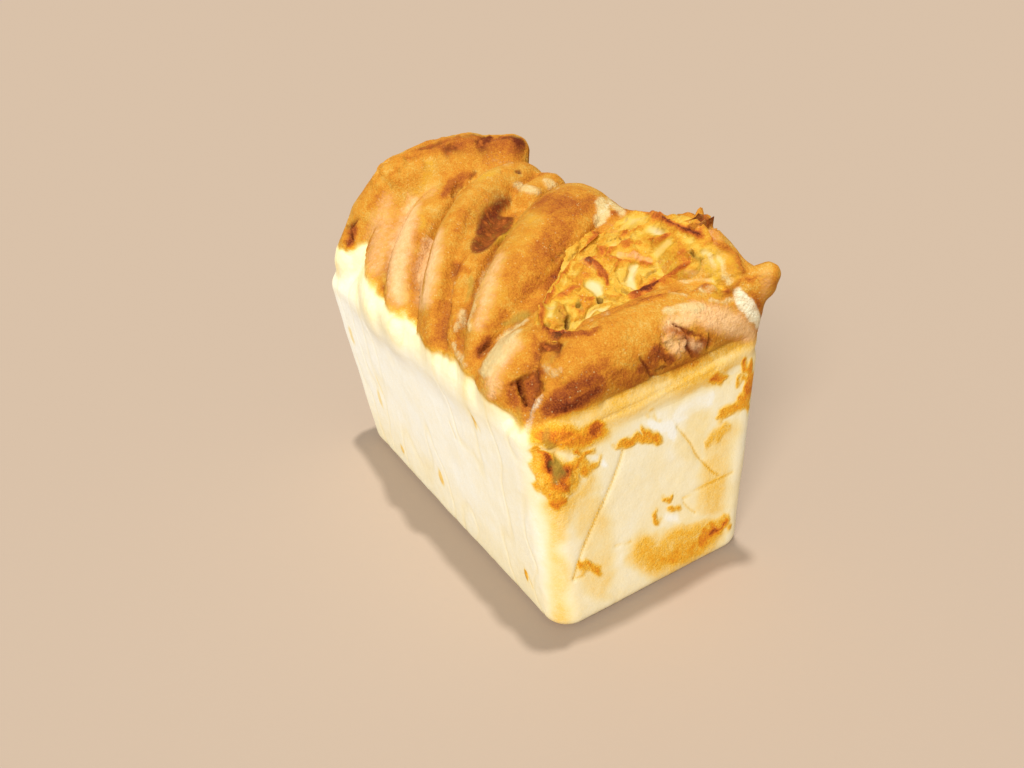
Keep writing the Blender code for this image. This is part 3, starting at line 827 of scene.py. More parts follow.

# %% Strands, pools, pits and browned places of the cheese, and grey painted shade in its pits
STRANDS_OF_CHEESE = strokes(
    left_edge=(1.0, (597, 233, 1.2), (585, 249, 1.5), (571, 266, 1.3), (556, 289, 1.5), (544, 307, 1.5),
               (541, 323, 1.4), (544, 331, 1.5)),
    low_edge=(1.0, (544, 331, 1.5), (553, 335, 1.5), (577, 336, 1.5), (589, 333, 1.6), (599, 329, 1.3)),
    upper_arch=(0.8, (607, 257, 1.4), (613, 250, 2), (622, 246, 2), (641, 243, 1.3)),
    upper_arch_foot=(0.8, (608, 259, 2), (613, 262, 1.8), (621, 263, 1.3)),
    far_arch=(0.6, (652, 240, 1.4), (661, 240, 1.6), (668, 236, 1.3)),
    roll_side=(0.8, (628, 298, 2), (640, 292, 2.6), (664, 282, 2.6), (681, 269, 1.8), (688, 262, 1.6)),
    roll_side_low=(0.6, (640, 301, 2), (655, 298, 2), (666, 295, 1.6)),
    left_blot=(0.7, (590, 262, 3), (598, 268, 3), (604, 275, 3), (606, 284, 2)),
    left_arch=(0.7, (553, 302, 1.8), (562, 297, 2.4), (570, 292, 2.6), (578, 290, 2.4)),
    back_rim=(0.8, (610, 214, 1.3), (645, 214, 1.6), (660, 219, 1.8), (673, 227, 2.2), (699, 236, 2.2)),
    pin_row_edge=(0.5, (600, 252, 1.5), (612, 243, 1.3), (626, 235, 1.3), (642, 230, 1.3)),
    middle_arch=(0.5, (612, 273, 1.4), (618, 264, 1.3), (642, 263, 1.3), (655, 266, 1.3)),
    low_middle=(0.5, (584, 300, 2), (603, 296, 1.5), (614, 300, 1.5), (626, 298, 1.5)),
    far_loop=(0.7, (694, 292, 1.8), (706, 286, 2), (716, 295, 2), (730, 292, 2), (738, 280, 2)),
    far_flank=(0.7, (712, 240, 2), (724, 246, 2.4), (736, 258, 2.4), (742, 272, 2)),
    low_bow=(0.5, (585, 315, 1.3), (603, 305, 1.3), (612, 304, 1.3)),
)
CHEESE_BROWN = strokes(
    low_leaf=(0.34, (588, 325, 1.7), (595, 320, 3.2), (604, 316, 2.6)),
    roll_leaf=(0.40, (627, 309, 1.8), (633, 311, 3.6), (639, 306, 2.2)),
    left_blot=(0.16, (590, 262, 4), (605, 275, 4), (606, 285, 2)),
    back_rim=(0.26, (666, 222, 1.8), (673, 227, 2.6), (682, 230, 1.6), (697, 235, 3)),
    roll_side=(0.14, (632, 297, 4), (645, 289, 4), (655, 285, 4)),
    far_side=(0.12, (724, 252, 6), (735, 256, 6), (743, 262, 4)),
    far_rim=(0.20, (722, 243, 2), (724, 238, 2)),
)
CHEESE_POOLS = strokes(
    middle=(0.95, (588, 284, 4), (595, 288, 5.5), (599, 296, 4)),
    middle_low=(0.8, (588, 316, 3.4), (597, 308, 3.6), (606, 310, 3)),
    left=(0.7, (552, 310, 4), (550, 315, 3)),
    low=(0.5, (567, 312, 3), (575, 316, 3)),
    right=(0.95, (638, 265, 3.4), (633, 271, 4), (630, 282, 4.4), (636, 288, 4)),
    upper=(0.5, (604, 246, 2.4), (612, 243, 3), (634, 238, 2.4)),
    back=(0.3, (608, 228, 5), (620, 224, 5), (633, 223, 3)),
    back_right=(0.9, (650, 228, 3), (656, 231, 3.4), (662, 234, 2.4)),
    far=(0.7, (669, 242, 3.6), (655, 254, 4)),
    far_rim=(0.5, (682, 236, 4), (690, 240, 4)),
    roll_side=(0.6, (680, 281, 3), (698, 281, 2.6), (713, 282, 3)),
    far_low=(0.5, (672, 262, 3), (668, 270, 4)),
    far_edge=(0.8, (719, 258, 3), (725, 270, 4), (728, 282, 4)),
    far_fleck=(0.8, (704, 252, 3), (710, 258, 4), (712, 268, 3)),
    far_low_fleck=(0.7, (700, 292, 3), (712, 290, 3)),
    far_seam=(0.7, (735, 300, 3), (722, 302, 3), (708, 300, 2.4)),
)
CHEESE_ROUGH = strokes(
    middle=(0.9, (621, 256, 4), (630, 256, 4.4), (641, 258, 4), (650, 261, 3)),
    roll_side=(0.8, (690, 272, 4.6), (698, 275, 4.6), (706, 282, 3)),
    left=(0.4, (585, 262, 5), (592, 270, 5)),
    back=(0.4, (612, 232, 4), (622, 230, 4)),
)
CHEESE_ON_CROWN = strokes(
    far=(0.8, (697, 243, 7), (706, 250, 9), (714, 262, 11), (720, 276, 11), (716, 292, 7)),
    far_side=(0.6, (728, 258, 7), (734, 272, 7), (732, 286, 6)),
)
CHEESE_GOLD = strokes(
    back=(0.6, (640, 236, 3.4), (648, 236, 3)),
    right=(0.7, (675, 247, 4), (666, 250, 5), (663, 268, 5), (655, 276, 4)),
    low_right=(0.7, (618, 290, 4), (626, 297, 4)),
    left=(0.6, (560, 290, 4), (556, 306, 2.6), (576, 301, 3.4)),
    middle=(0.6, (608, 292, 3), (612, 282, 3)),
)
# Grey painted shade in the cheese's pits and slots.
CHEESE_GREY_SHADE = strokes(
    left_pit=(0.9, (568, 319, 3.4), (567, 328, 3)),
    pit_above=(0.9, (578, 306, 3), (581, 311, 2.4)),
    middle_pit=(0.8, (600, 301, 3.4)),
    far_slots=(0.9, (691, 253, 1.8), (694, 256, 1.8), (703, 261, 1.6), (706, 268, 1.8)),
    low_left=(0.4, (560, 316, 5), (562, 326, 4)),
)
CHEESE_PITS = strokes(
    left_pit=(2.6, (568, 320, 2.4), (567, 327, 2.2)),
    edge_pit=(2.2, (547, 326, 2.7)),
    upper_left_pit=(1.6, (560, 313, 1.3)),
    pit_above=(2.0, (578, 307, 2.2)),
    middle_pit=(2.2, (600, 301, 2.8)),
    far_slot=(1.8, (691, 253, 1.5), (694, 256, 1.5)),
    far_slot_low=(1.8, (703, 261, 1.4), (706, 268, 1.5)),
    right_slot=(1.4, (646, 278, 1.1), (655, 271, 1.1)),
    low_slot=(1.4, (623, 291, 1), (628, 294, 1.3)),
    small_pit=(1.0, (640, 285, 1)),
    low_small_pits=(0.8, (588, 311, 0.9), (586, 315, 0.8)),
)
PIN_COUNT = 6
PIN_START = np.array((606.0, 243.0))
PIN_STEP = np.array((4.8, -1.3))
PIN_HOLES = [stroke for count in range(PIN_COUNT)
             for stroke in strokes(pin_hole=(1.0, (*(PIN_START + PIN_STEP * count), 1.0)))]
CHEESE_SEEN = (STRANDS_OF_CHEESE, CHEESE_POOLS, CHEESE_BROWN, CHEESE_ROUGH, CHEESE_GOLD, CHEESE_GREY_SHADE,
               CHEESE_ON_CROWN)
print("cheese strokes:", sum(len(some) for some in CHEESE_SEEN), "pits:", len(CHEESE_PITS + PIN_HOLES))

# %% Widths of the strokes' soft edges, in photo pixels: first for the relief, then for the colours
CUT_EDGE = 2.6
PIT_EDGE = 3.5
FLAKE_EDGE = 3.0
STRAND_EDGE = 3.5
MELT_EDGE = 7.0
POOL_EDGE = 5.0
ROUGH_EDGE = 5.0
CHEESE_PIT_EDGE = 2.2
PIN_EDGE = 1.2

CHAR_AND_SHADE_EDGE = 3.6
POCKET_BED_SHADE_EDGE = 3.0
BROWN_EDGE = 8.0
BLUSH_AND_SHEEN_EDGE = 18.0
GOLD_EDGE = 7.0
PALE_EDGE = 6.0
WHITE_EDGE = 4.5
OLIVE_SHADE_EDGE = 4.5
STAIN_EDGE = 5.5
WASH_EDGE = 16.0
WHITES_EDGE = 4.0
CHEESE_BROWN_EDGE = 3.0
CHEESE_GOLD_EDGE = 6.0
CHEESE_GREY_SHADE_EDGE = 3.5
CHEESE_PIT_SHADE_EDGE = 2.6

# %% [markdown]
# ## Where crust begins
#
# The tin kept the walls from browning, and the lobes bulged over its rim. So the colour changes in a
# short band whose height follows the lobes' low ends. It is a line drawn along the loaf.

# %% Height of the rim line
LEFT_RIM = (
    (-100, 112), (-80, 113), (-72, 116), (-57, 115), (-43, 113), (-33, 111), (-20, 109.5), (-8, 109),
    (-1, 107), (5, 106.5), (12, 105), (24, 104.5), (41, 104.5), (49, 105), (57, 105), (65, 102.5),
    (73, 101.5), (79, 100), (83, 98.5), (92, 98), (100, 97),
)
END_RIM_Z = 101.0
BACK_RIM_Z = 99.0
RIM_WAVES = (Noise(1.0, 9.0, 1, 40), Noise(0.6, 2.5, 1, 41))
RIM_BLEND = 4.0
ACROSS_BLEND = 70.0
END_STARTS_X = 97.0


def drawn(value, stops):
    """A line drawn through stops, each a value and the height of the line there."""
    return np.interp(value, *zip(*stops))


def rim_height(points):
    """Height where crust begins: the drawn line on the long wall, plain heights on the other sides."""
    x, y = points[..., 0], points[..., 1]
    across = smooth_step(y / ACROSS_BLEND + 0.5)
    side = drawn(x, LEFT_RIM) * (1 - across) + BACK_RIM_Z * across
    end = smooth_step((x - END_STARTS_X) / RIM_BLEND + 0.5)
    return side * (1 - end) + END_RIM_Z * end + grain(points, *RIM_WAVES)


# %% [markdown]
# ## Relief
#
# Each vertex moves along the dough's own outward direction, which is the slope of the gap function. The
# move is a sum of fields: grain everywhere, wrinkles along the lobes, grooves on the named lines, burnt
# and pitted strokes sunk a little, strands and flakes raised, rough crags and cracked plates in their
# zones, and folded seams on the walls.

# %% Outward directions
SLOPE_STEP = 0.4
LEAST_SLOPE = 1e-9
FACING_BLEND = 0.25


def outward(points):
    """Unit slope of the gap function, from differences over a small step."""
    here = whole_gap(points)
    slope = np.stack([whole_gap(points + SLOPE_STEP * axis) - here for axis in np.eye(3)], axis=-1)
    return slope / np.maximum(np.linalg.norm(slope, axis=-1, keepdims=True), LEAST_SLOPE)


def facing_photo(points, way):
    """1 where the dough faces the photo's camera, 0 where it is turned away and strokes don't show."""
    towards = CAMERA_PLACE - points
    towards /= np.linalg.norm(towards, axis=-1, keepdims=True)
    return smooth_step((towards * way).sum(axis=-1) / FACING_BLEND)


# %% Fields of relief for the crown
CREASE_DEPTH = 1.9
CHAR_CUT = 0.9
PALE_RISE = 0.5
STRING_RISE = 1.7
CROWN_FROM_RIM = 10.0
CROWN_GRAIN = (Noise(0.45, 11.0, 3, 10), Noise(0.16, 3.0, 2, 14))
WRINKLES = Noise(0.22, 3.4, 2, 21)
WRINKLE_TWIST = Twist(14.0, 4.0, 20)
WRINKLE_STRETCH = (1.0, 0.35, 0.5)
STROKE_TWIST = Twist(2.5, 0.5, 25)
CRAG_TWIST = Twist(6.0, 2.0, 50)
CRAG_CRESTS = Noise(2.8, 6.0, 4, 53)
CRAG_KNOBS, KNOB_SIZE, KNOB_REACH, KNOB_SEED = 1.6, 4.2, 2.6, 55
CRAG_LEVEL = 1.8
FLAKE_TWIST = Twist(5.0, 1.5, 60)
PLATE_LIFT, PLATE_SIZE, CRACK_WIDTH, PLATE_SEED = 0.9, 4.0, 1.2, 67
PLATE_LEVEL = 0.7
MELT_TWIST = Twist(5.0, 0.8, 100)
MELT_FOLDS = Noise(2.2, 6.0, 3, 103)
MELT_LUMPS = Noise(0.4, 3.5, 2, 108)


def crag_relief(points):
    """Crisp, broken crust: sharp crests in four layers over small knobs."""
    twisted = warped(points, *CRAG_TWIST)
    near = bubbles(twisted, KNOB_SIZE, KNOB_SEED)[0]
    return ridges(twisted, CRAG_CRESTS) + CRAG_KNOBS * smooth_step(1 - near / KNOB_REACH) - CRAG_LEVEL


def flake_relief(points):
    """Cracked plates: each cell of a bubble pattern has its own lift, with a dark crack round it."""
    near, next_near = bubbles(warped(points, *FLAKE_TWIST), PLATE_SIZE, PLATE_SEED)
    return PLATE_LIFT * smooth_step((next_near - near) / CRACK_WIDTH) - PLATE_LEVEL


def melted_folds(points):
    """Folds and small lumps of cheese that ran over the dough and dried."""
    folds = ridges(warped(points, *MELT_TWIST), MELT_FOLDS) - MELT_FOLDS.height / 2
    return folds + grain(points, MELT_LUMPS)


def crown_relief(points, facing):
    """The crown's summed relief, with crags and flakes kept to their zones."""
    over_rim = smooth_step((points[..., 2] - RIM_HEIGHT) / CROWN_FROM_RIM)
    wrinkles = ridges(warped(points, *WRINKLE_TWIST) * WRINKLE_STRETCH, WRINKLES)
    grooves = CREASE_DEPTH * line_depth(points, CREASES) + line_depth(points, (DARK_WEB,))
    twisted = warped(points, *STROKE_TWIST)
    cuts = CHAR_CUT * stroke_share(twisted, CHAR_AND_SHADE, CUT_EDGE) + stroke_share(twisted, PITS, PIT_EDGE)
    flakes = PALE_RISE * stroke_share(twisted, PALE + WHITE, FLAKE_EDGE)
    strings = STRING_RISE * stroke_share(twisted, STRANDS_OF_CHEESE, STRAND_EDGE)
    plain = grain(points, *CROWN_GRAIN) + wrinkles - grooves
    relief = over_rim * (plain + facing * (flakes + strings - cuts))
    relief -= line_depth(points, BAND_LINES)
    relief += line_depth(points, WEB_STRINGS)
    relief += zone_share(points, CRAGS) * crag_relief(points)
    relief += facing * stroke_share(twisted, CHEESE_ON_CROWN, MELT_EDGE) * melted_folds(points)
    return relief + zone_share(points, FLAKES) * flake_relief(points)


# %% Fields of relief for the walls
END_SEAMS = (
    line(0.5, 0.7, (101, -40, 26), (100, -35, 40), (100, -28, 53), (100, -20, 66), (101, -16, 76)),
    line(0.5, 0.6, (101, 9, 76), (100, 16, 66), (100, 19, 58), (100, 25, 50), (100, 30, 44)),
    line(0.5, 0.4, (99, 13, 41), (100, 25, 42), (99, 38, 42)),
    line(0.5, 0.5, (99, 13, 38), (99, 19, 30)),
    line(0.5, 0.4, (99, -40, 27), (99, -35, 27)),
    line(0.5, 0.4, (99, -20, 33), (99, -13, 32)),
)
WALL_MARK_LINES = (
    line(0.6, 0.3, (56, -52, 88), (61, -52, 82)), line(0.8, 0.3, (-60, -50, 52), (-57, -50, 44)),
    line(0.6, 0.3, (30, -52, 70), (33, -52, 64)), line(0.6, 0.3, (76, -50, 20), (79, -50, 14)),
)
RECESS = zones((99, -46, 88, 6, 6, 7, 1.0))
RECESS_DEPTH = 1.6
WALL_GRAIN = (Noise(0.35, 22.0, 2, 30), Noise(0.12, 4.0, 2, 33))
WALL_CRAG, WALL_CRAG_RISE = 0.7, 0.6
STREAK_TWIST = Twist(15.0, 5.0, 36)
STREAK_STRETCH = (1.0, 1.0, 0.16)
STREAKS = Noise(1.0, 13.0, 1, 38)
STREAK_FROM = 0.72
STREAK_DEPTH = 0.25
NEAR_END_X = 90.0
NEAR_END_BLEND = 10.0
FOOT_BLEND = 4.0
LIP = 0.9
LIP_ENDS_X = 84.0
LIP_END_BLEND, LIP_BLEND, LIP_FADE = 8.0, 1.6, 7.0
CROWN_BLEND = 8.0


def near_end(points):
    """1 on the near end wall and 0 along the loaf's sides, changing round the corner."""
    return smooth_step((points[..., 0] - NEAR_END_X) / NEAR_END_BLEND)


def upright_streaks(points):
    """Faint upright wrinkles where the dough slid up the tin: 1 on a wrinkle, none on the near end."""
    crests = ridges(warped(points, *STREAK_TWIST) * STREAK_STRETCH, STREAKS)
    return (1 - near_end(points)) * np.maximum(crests - STREAK_FROM, 0) / (1 - STREAK_FROM)


def wall_relief(points):
    """Soft dents, the folds' seams, and the fine grain that dough takes from a tin."""
    seams = line_depth(points, END_SEAMS + WALL_MARK_LINES)
    sunk = STREAK_DEPTH * upright_streaks(points) + RECESS_DEPTH * zone_share(points, RECESS)
    rough = zone_share(points, CRAGS) * (crag_relief(points) * WALL_CRAG + WALL_CRAG_RISE)
    lifted = smooth_step(points[..., 2] / FOOT_BLEND)
    return lifted * (grain(points, *WALL_GRAIN) - seams - sunk + rough)


def lip_relief(points):
    """The crust's low edge, which swelled a little over the rim of the tin on its long sides."""
    above = points[..., 2] - rim_height(points)
    along_side = 1 - smooth_step((np.abs(points[..., 0]) - LIP_ENDS_X) / LIP_END_BLEND)
    rise = smooth_step(above / LIP_BLEND + 0.5)
    return LIP * along_side * rise * np.exp(-np.maximum(above, 0) / LIP_FADE)


def skin_relief(points, facing):
    """Relief for any point: the walls' under the rim, the crown's over it, blended across a band."""
    over = smooth_step((points[..., 2] - WALL_TOP) / CROWN_BLEND)
    return wall_relief(points) * (1 - over) + crown_relief(points, facing) * over + lip_relief(points)


# %% [markdown]
# ## Colour shares
#
# The shader needs to know how long each spot was in the heat, and where shade and sheen are painted. Eight
# shares are stored at the vertices, and the material mixes its colours by them. Bake is the heat taken,
# with painted shade added along creases, under the roll and in the near corner's recess, and wall says
# where the tin kept the skin pale. Char and shade holds burnt spots and painted shade in hollows and
# holes, olive shade is painted shade, and blush and sheen is pinkish crust with painted sheen over it.

# %% Stains and pale flecks on the end wall, painted shade in its recess, and marks on the long wall
SHARE_NAMES = ("bake", "wall", "char", "blush", "gold", "pale", "white", "olive")
STAINS = strokes(
    band_streak=(0.22, (591, 433, 3), (598, 427, 4), (604, 421, 3)),
    band_low=(0.38, (576, 454, 2.4), (588, 451, 3), (596, 451, 2.6)),
    fold_left=(0.32, (536, 455, 9), (541, 465, 12), (545, 477, 11), (551, 488, 10), (556, 498, 9)),
    fold_left_core=(0.48, (538, 454, 4), (545, 458, 5.5), (549, 466, 4.5), (546, 474, 3)),
    fold_foot=(0.38, (546, 486, 5), (555, 494, 7), (560, 499, 6)),
    fold_right=(0.32, (562, 489, 7), (568, 478, 9), (576, 468, 8), (584, 462, 7)),
    fold_right_core=(0.43, (563, 484, 3.2), (570, 473, 4), (582, 461, 3)),
    fold_branch=(0.36, (586, 470, 5), (594, 465, 5), (600, 459, 3)),
    middle_patch=(0.42, (617, 447, 4), (637, 440, 5.5), (648, 438, 6.5), (658, 438, 4.5)),
    middle_patch_core=(0.48, (644, 429, 3), (652, 436, 4), (657, 440, 3)),
    middle_fleck=(0.22, (650, 417, 1.5), (656, 416, 1.7), (661, 420, 1.6)),
    far_corner=(0.42, (722, 413, 5), (733, 408, 6), (743, 405, 6), (750, 384, 4), (746, 359, 3)),
    far_corner_core=(0.46, (720, 416, 3.4), (715, 419, 1.8)),
    far_flake=(0.34, (712, 382, 3), (718, 378, 4), (722, 376, 2.2)),
    far_flake_low=(0.38, (735, 385, 2.2), (739, 380, 3), (743, 377, 2.6)),
    far_wash=(0.16, (725, 428, 5), (715, 437, 6), (708, 441, 4)),
    far_low=(0.28, (705, 540, 7), (715, 530, 9), (727, 520, 6)),
    far_low_core=(0.58, (711, 537, 3), (716, 531, 3), (728, 521, 2.4)),
    seam_fleck=(0.50, (663, 500, 1.4), (669, 498, 1.5), (673, 497, 1.2)),
    seam_spot=(0.44, (655, 514, 2.6), (657, 521, 3.2), (657, 526, 1.8)),
    seam_drop=(0.40, (671, 511, 1.8), (675, 508, 2.2), (678, 506, 1.4)),
    low_gold=(0.09, (632, 562, 8), (650, 552, 16), (676, 545, 20), (702, 536, 16), (722, 526, 9)),
    low_gold_core=(0.14, (662, 562, 4), (674, 556, 8), (688, 551, 9), (699, 543, 5)),
    low_spot=(0.46, (588, 564, 2.4)),
    low_fleck=(0.28, (583, 567, 4), (592, 567, 4), (601, 573, 2.6)),
)
WASHES = strokes(
    band_start=(0.42, (540, 436, 9), (556, 438, 12), (580, 440, 11), (598, 431, 9)),
    band=(0.12, (600, 424, 10), (630, 410, 10), (660, 396, 10), (700, 382, 9), (738, 366, 7)),
    # Painted shade in the near corner's recess.
    recess=(0.38, (553, 462, 8), (560, 470, 9), (560, 480, 6)),
    under_fold=(0.20, (551, 508, 10), (560, 516, 10), (575, 500, 8), (590, 482, 8)),
    near_corner=(0.16, (558, 527, 12), (553, 550, 6), (560, 578, 13), (556, 600, 7), (561, 616, 10)),
    left_part=(0.13, (590, 510, 18), (598, 545, 16), (600, 575, 16)),
    far_side=(0.15, (728, 430, 12), (718, 445, 14), (714, 480, 14), (712, 505, 12)),
    far_upper=(0.10, (700, 420, 14), (690, 450, 14)),
    low=(0.17, (645, 550, 16), (655, 562, 16), (680, 550, 20), (708, 535, 14)),
    low_left=(0.12, (585, 570, 12), (600, 590, 10)),
)
WHITES = strokes(
    band_fleck=(0.9, (593, 459, 2.2), (602, 459, 3.6), (606, 465, 2.4)),
    middle_flecks=(0.9, (651, 423, 2.6), (660, 428, 4), (670, 424, 5), (672, 435, 4)),
    under_band=(0.5, (680, 415, 8), (690, 405, 9), (706, 396, 9)),
    seam_top=(0.7, (668, 518, 4.4), (677, 518, 4)),
    far_fleck=(0.9, (732, 372, 3.6), (738, 368, 3)),
)
WALL_MARKS = zones(
    (-82, -51, 68, 3, 3, 5, 0.20), (-63, -51, 38, 2.4, 3, 5, 0.20), (1, -51, 24, 2.4, 3, 5, 0.26),
    (-48, -51, 14, 2.4, 3, 3, 0.24), (76, -51, 17, 1.2, 3, 3, 0.36), (58, -51, 85, 1.4, 3, 4, 0.22))
WALL_BAKES = ((0.0, 0.11), (40.0, 0.03), (84.0, 0.01), (93.0, 0.07), (102.0, 0.16))
END_BAKE = 0.14
STREAK_BAKE = 0.045
NEAR_BAKE = 0.035
NEAR_BAKE_FROM_X, NEAR_BAKE_BLEND = 20.0, 60.0
LEDGE_BAKES = ((86.0, 0.0), (93.0, 0.06), (99.0, 0.14), (104.0, 0.26))
CRUST_BAKE = 0.46
HIDDEN_PALE = 0.10
PALE_BELOW = 118.0
HIDDEN_FADE = 20.0
FLANK_SHADE = 0.19
STRING_BAKE = 0.30
RELIEF_BAKE, RELIEF_RANGE = 0.03, 1.5
BAKE_MOTTLE = (Noise(0.09, 13.0, 4, 80), Noise(0.05, 34.0, 1, 82))
BAKE_TWIST = Twist(4.0, 1.0, 84)
STAIN_TWIST = Twist(3.0, 1.6, 86)
MELT_MOTTLE = Noise(0.35, 6.0, 4, 124)
SIDE_MOTTLE, END_MOTTLE = 0.3, 0.9
SEAM_BAKE, MARK_LINE_BAKE = 0.25, 0.4
print("end wall strokes:", len(STAINS + WASHES + WHITES), "wall marks:", len(WALL_MARKS))


# %% Shares stored at the vertices
SIDE_BLEND = 4.5
END_BLEND = 6.0
END_BLEND_FROM_X, END_BLEND_LENGTH = 92.0, 8.0


def crust_share(points):
    """1 on crust and 0 on skin that lay against the tin, changing across a short band."""
    end = smooth_step((points[..., 0] - END_BLEND_FROM_X) / END_BLEND_LENGTH)
    width = SIDE_BLEND + (END_BLEND - SIDE_BLEND) * end
    return smooth_step((points[..., 2] - rim_height(points)) / width + 0.5)


def bake_and_shade_level(points, over, relief, facing):
    """Heat taken: little on the walls, more over the rim, most in the brown zones.

    Painted shade is added along the creases' flanks, under the roll and in the near corner's recess.
    """
    end = near_end(points)
    side = drawn(points[..., 2], WALL_BAKES)
    wall = side + (END_BAKE + drawn(points[..., 2], LEDGE_BAKES) - side) * end
    mottle = grain(points, *BAKE_MOTTLE)
    twisted = warped(points, *BAKE_TWIST)
    crust = CRUST_BAKE + mottle + RELIEF_BAKE * np.clip(relief, -RELIEF_RANGE, RELIEF_RANGE)
    strings = STRING_BAKE * stroke_share(twisted, STRANDS_OF_CHEESE, STRAND_EDGE)
    # Painted shade: browner along the creases' flanks.
    crust += FLANK_SHADE * line_share(points, SHADED_FLANKS)
    crust -= HIDDEN_PALE * (1 - facing) * smooth_step((PALE_BELOW - points[..., 2]) / HIDDEN_FADE)
    cheesy = grain(points, MELT_MOTTLE) * stroke_share(twisted, CHEESE_ON_CROWN, MELT_EDGE)
    crust += facing * (stroke_share(twisted, BROWN, BROWN_EDGE) + strings + cheesy)
    stains = stroke_share(warped(points, *STAIN_TWIST), STAINS, STAIN_EDGE)
    skin = wall + (SIDE_MOTTLE + (END_MOTTLE - SIDE_MOTTLE) * end) * mottle
    skin += np.maximum(stains, zone_share(twisted, WALL_MARKS))
    skin += stroke_share(twisted, WASHES, WASH_EDGE) - END_BAKE * stroke_share(twisted, WHITES, WHITES_EDGE)
    skin += SEAM_BAKE * line_share(points, END_SEAMS) + MARK_LINE_BAKE * line_share(points, WALL_MARK_LINES)
    near = NEAR_BAKE * smooth_step((points[..., 0] - NEAR_BAKE_FROM_X) / NEAR_BAKE_BLEND) * (1 - end)
    skin += STREAK_BAKE * upright_streaks(points) + near
    return skin * (1 - over) + crust * over


# %% Every named share
COLOUR_TWIST = Twist(3.5, 0.8, 90)
POCKET_SHADE, POCKET_SHADE_DEPTH = 0.8, 1.4
POCKET_SHADE_TOP, POCKET_SHADE_BLEND = 138.5, 4.0
SLIT_SHADE, SLIT_SHADE_DEPTH = 0.9, 0.7
CREASE_SHADE = 0.10


def hollow_share(points, knobs, depth):
    """1 within half the depth of a scooped hollow's own wall, 0 from one and a half depths away."""
    gap = np.min([np.abs(knob_gap(points, knob)) for knob in knobs], axis=0)
    return smooth_step(1.5 - gap / depth)


def colour_shares(points, relief, facing):
    """Every named share, in the order of SHARE_NAMES."""
    over = crust_share(points)
    twisted = warped(points, *COLOUR_TWIST)
    low = smooth_step((POCKET_SHADE_TOP - points[..., 2]) / POCKET_SHADE_BLEND)
    # Burnt strokes, and painted shade: in holes, the swirl's hollow, the pocket, the slit and the pocket's
    # bed.
    char = np.max([
        facing * stroke_share(warped(points, *STROKE_TWIST), CHAR_AND_SHADE, CHAR_AND_SHADE_EDGE),
        POCKET_SHADE * low * hollow_share(points, (POCKET, POCKET_TAIL), POCKET_SHADE_DEPTH),
        SLIT_SHADE * hollow_share(points, (SLIT,), SLIT_SHADE_DEPTH),
        facing * stroke_share(points, POCKET_BED_SHADE, POCKET_BED_SHADE_EDGE),
    ], axis=0)
    # Olive shade: painted shade from the olive strokes, and faintly along every crease.
    olive = facing * stroke_share(twisted, OLIVE_SHADE, OLIVE_SHADE_EDGE) + CREASE_SHADE * line_share(points, CREASES)
    return np.stack([
        np.clip(bake_and_shade_level(points, over, relief, facing), 0, 1),
        1 - over,
        np.clip(char, 0, 1),
        facing * stroke_share(twisted, BLUSH_AND_SHEEN, BLUSH_AND_SHEEN_EDGE),
        facing * stroke_share(twisted, GOLD + CHEESE_GOLD + CHEESE_ON_CROWN, GOLD_EDGE),
        facing * stroke_share(twisted, PALE + CHEESE_POOLS, PALE_EDGE),
        facing * stroke_share(twisted, WHITE, WHITE_EDGE),
        np.clip(olive, 0, 1),
    ], axis=-1)


# %% [markdown]
# ## Meshes
#
# A grid becomes a mesh by numbering its points and joining neighbours. The crown is closed by a flat
# face at the tin's rim and the walls by flat faces at both ends, so each piece is a closed shell, and
# the two meet on the same loop of points.

# %% From grids to mesh pieces
SHARP_DEGREES = 60.0


def add_object(name, data):
    """A new object in the scene, at the origin."""
    made = bpy.data.objects.new(name, data)
    bpy.context.scene.collection.objects.link(made)
    return made


def quads(index):
    """Faces between neighbouring rows and columns of a grid of vertex numbers."""
    corners = (index[:-1, :-1], index[1:, :-1], index[1:, 1:], index[:-1, 1:])
    return np.stack(corners, axis=-1).reshape(-1, 4)


def mesh_piece(name, points, faces, shares):
    """A smooth mesh object at the origin, with each share stored as a point attribute."""
    mesh = bpy.data.meshes.new(name)
    mesh.from_pydata(((points + TIN_ORIGIN) * MM).tolist(), [], faces)
    mesh.shade_smooth()
    mesh.set_sharp_from_angle(angle=np.radians(SHARP_DEGREES))
    for column, share_name in enumerate(SHARE_NAMES):
        layer = mesh.attributes.new(share_name, "FLOAT", "POINT")
        layer.data.foreach_set("value", shares[:, column].astype(np.float32))
    print(name, len(mesh.vertices), "points,", sum(len(face) - 2 for face in faces), "triangles")
    return add_object(name, mesh)


def dressed(points):
    """The points moved by their relief, and their colour shares."""
    way = outward(points)
    facing = facing_photo(points, way)
    relief = skin_relief(points, facing)
    return points + relief[..., None] * way, colour_shares(points, relief, facing)


# %% The crown's shell
EASED = strokes(
    pocket=(0.55, (474, 238, 10), (484, 220, 14), (493, 208, 15), (507, 197, 13)),
    swirl=(0.9, (436, 190, 6), (446, 172, 8), (465, 164, 8), (490, 160, 8), (515, 159, 7)),
    slab_front=(0.8, (440, 157, 6), (470, 153, 7), (500, 152, 7), (518, 150, 6)),
    web_hole=(0.5, (551, 344, 6), (557, 350, 6)),
)
EASED_EDGE = 8.0
EASE_ROUNDS = 4


def eased(grid, weight):
    """The grid's values moved towards the mean of their four neighbours, where the weight says so.

    A grid of sight lines makes small steps where the dough folds over a rim, and this smooths them.
    """
    for _ in range(EASE_ROUNDS):
        mean = grid.copy()
        beside = grid[:-2, 1:-1] + grid[2:, 1:-1] + grid[1:-1, :-2] + grid[1:-1, 2:]
        mean[1:-1, 1:-1] = beside / 4
        grid = grid + weight[..., None] * (mean - grid)
    return grid


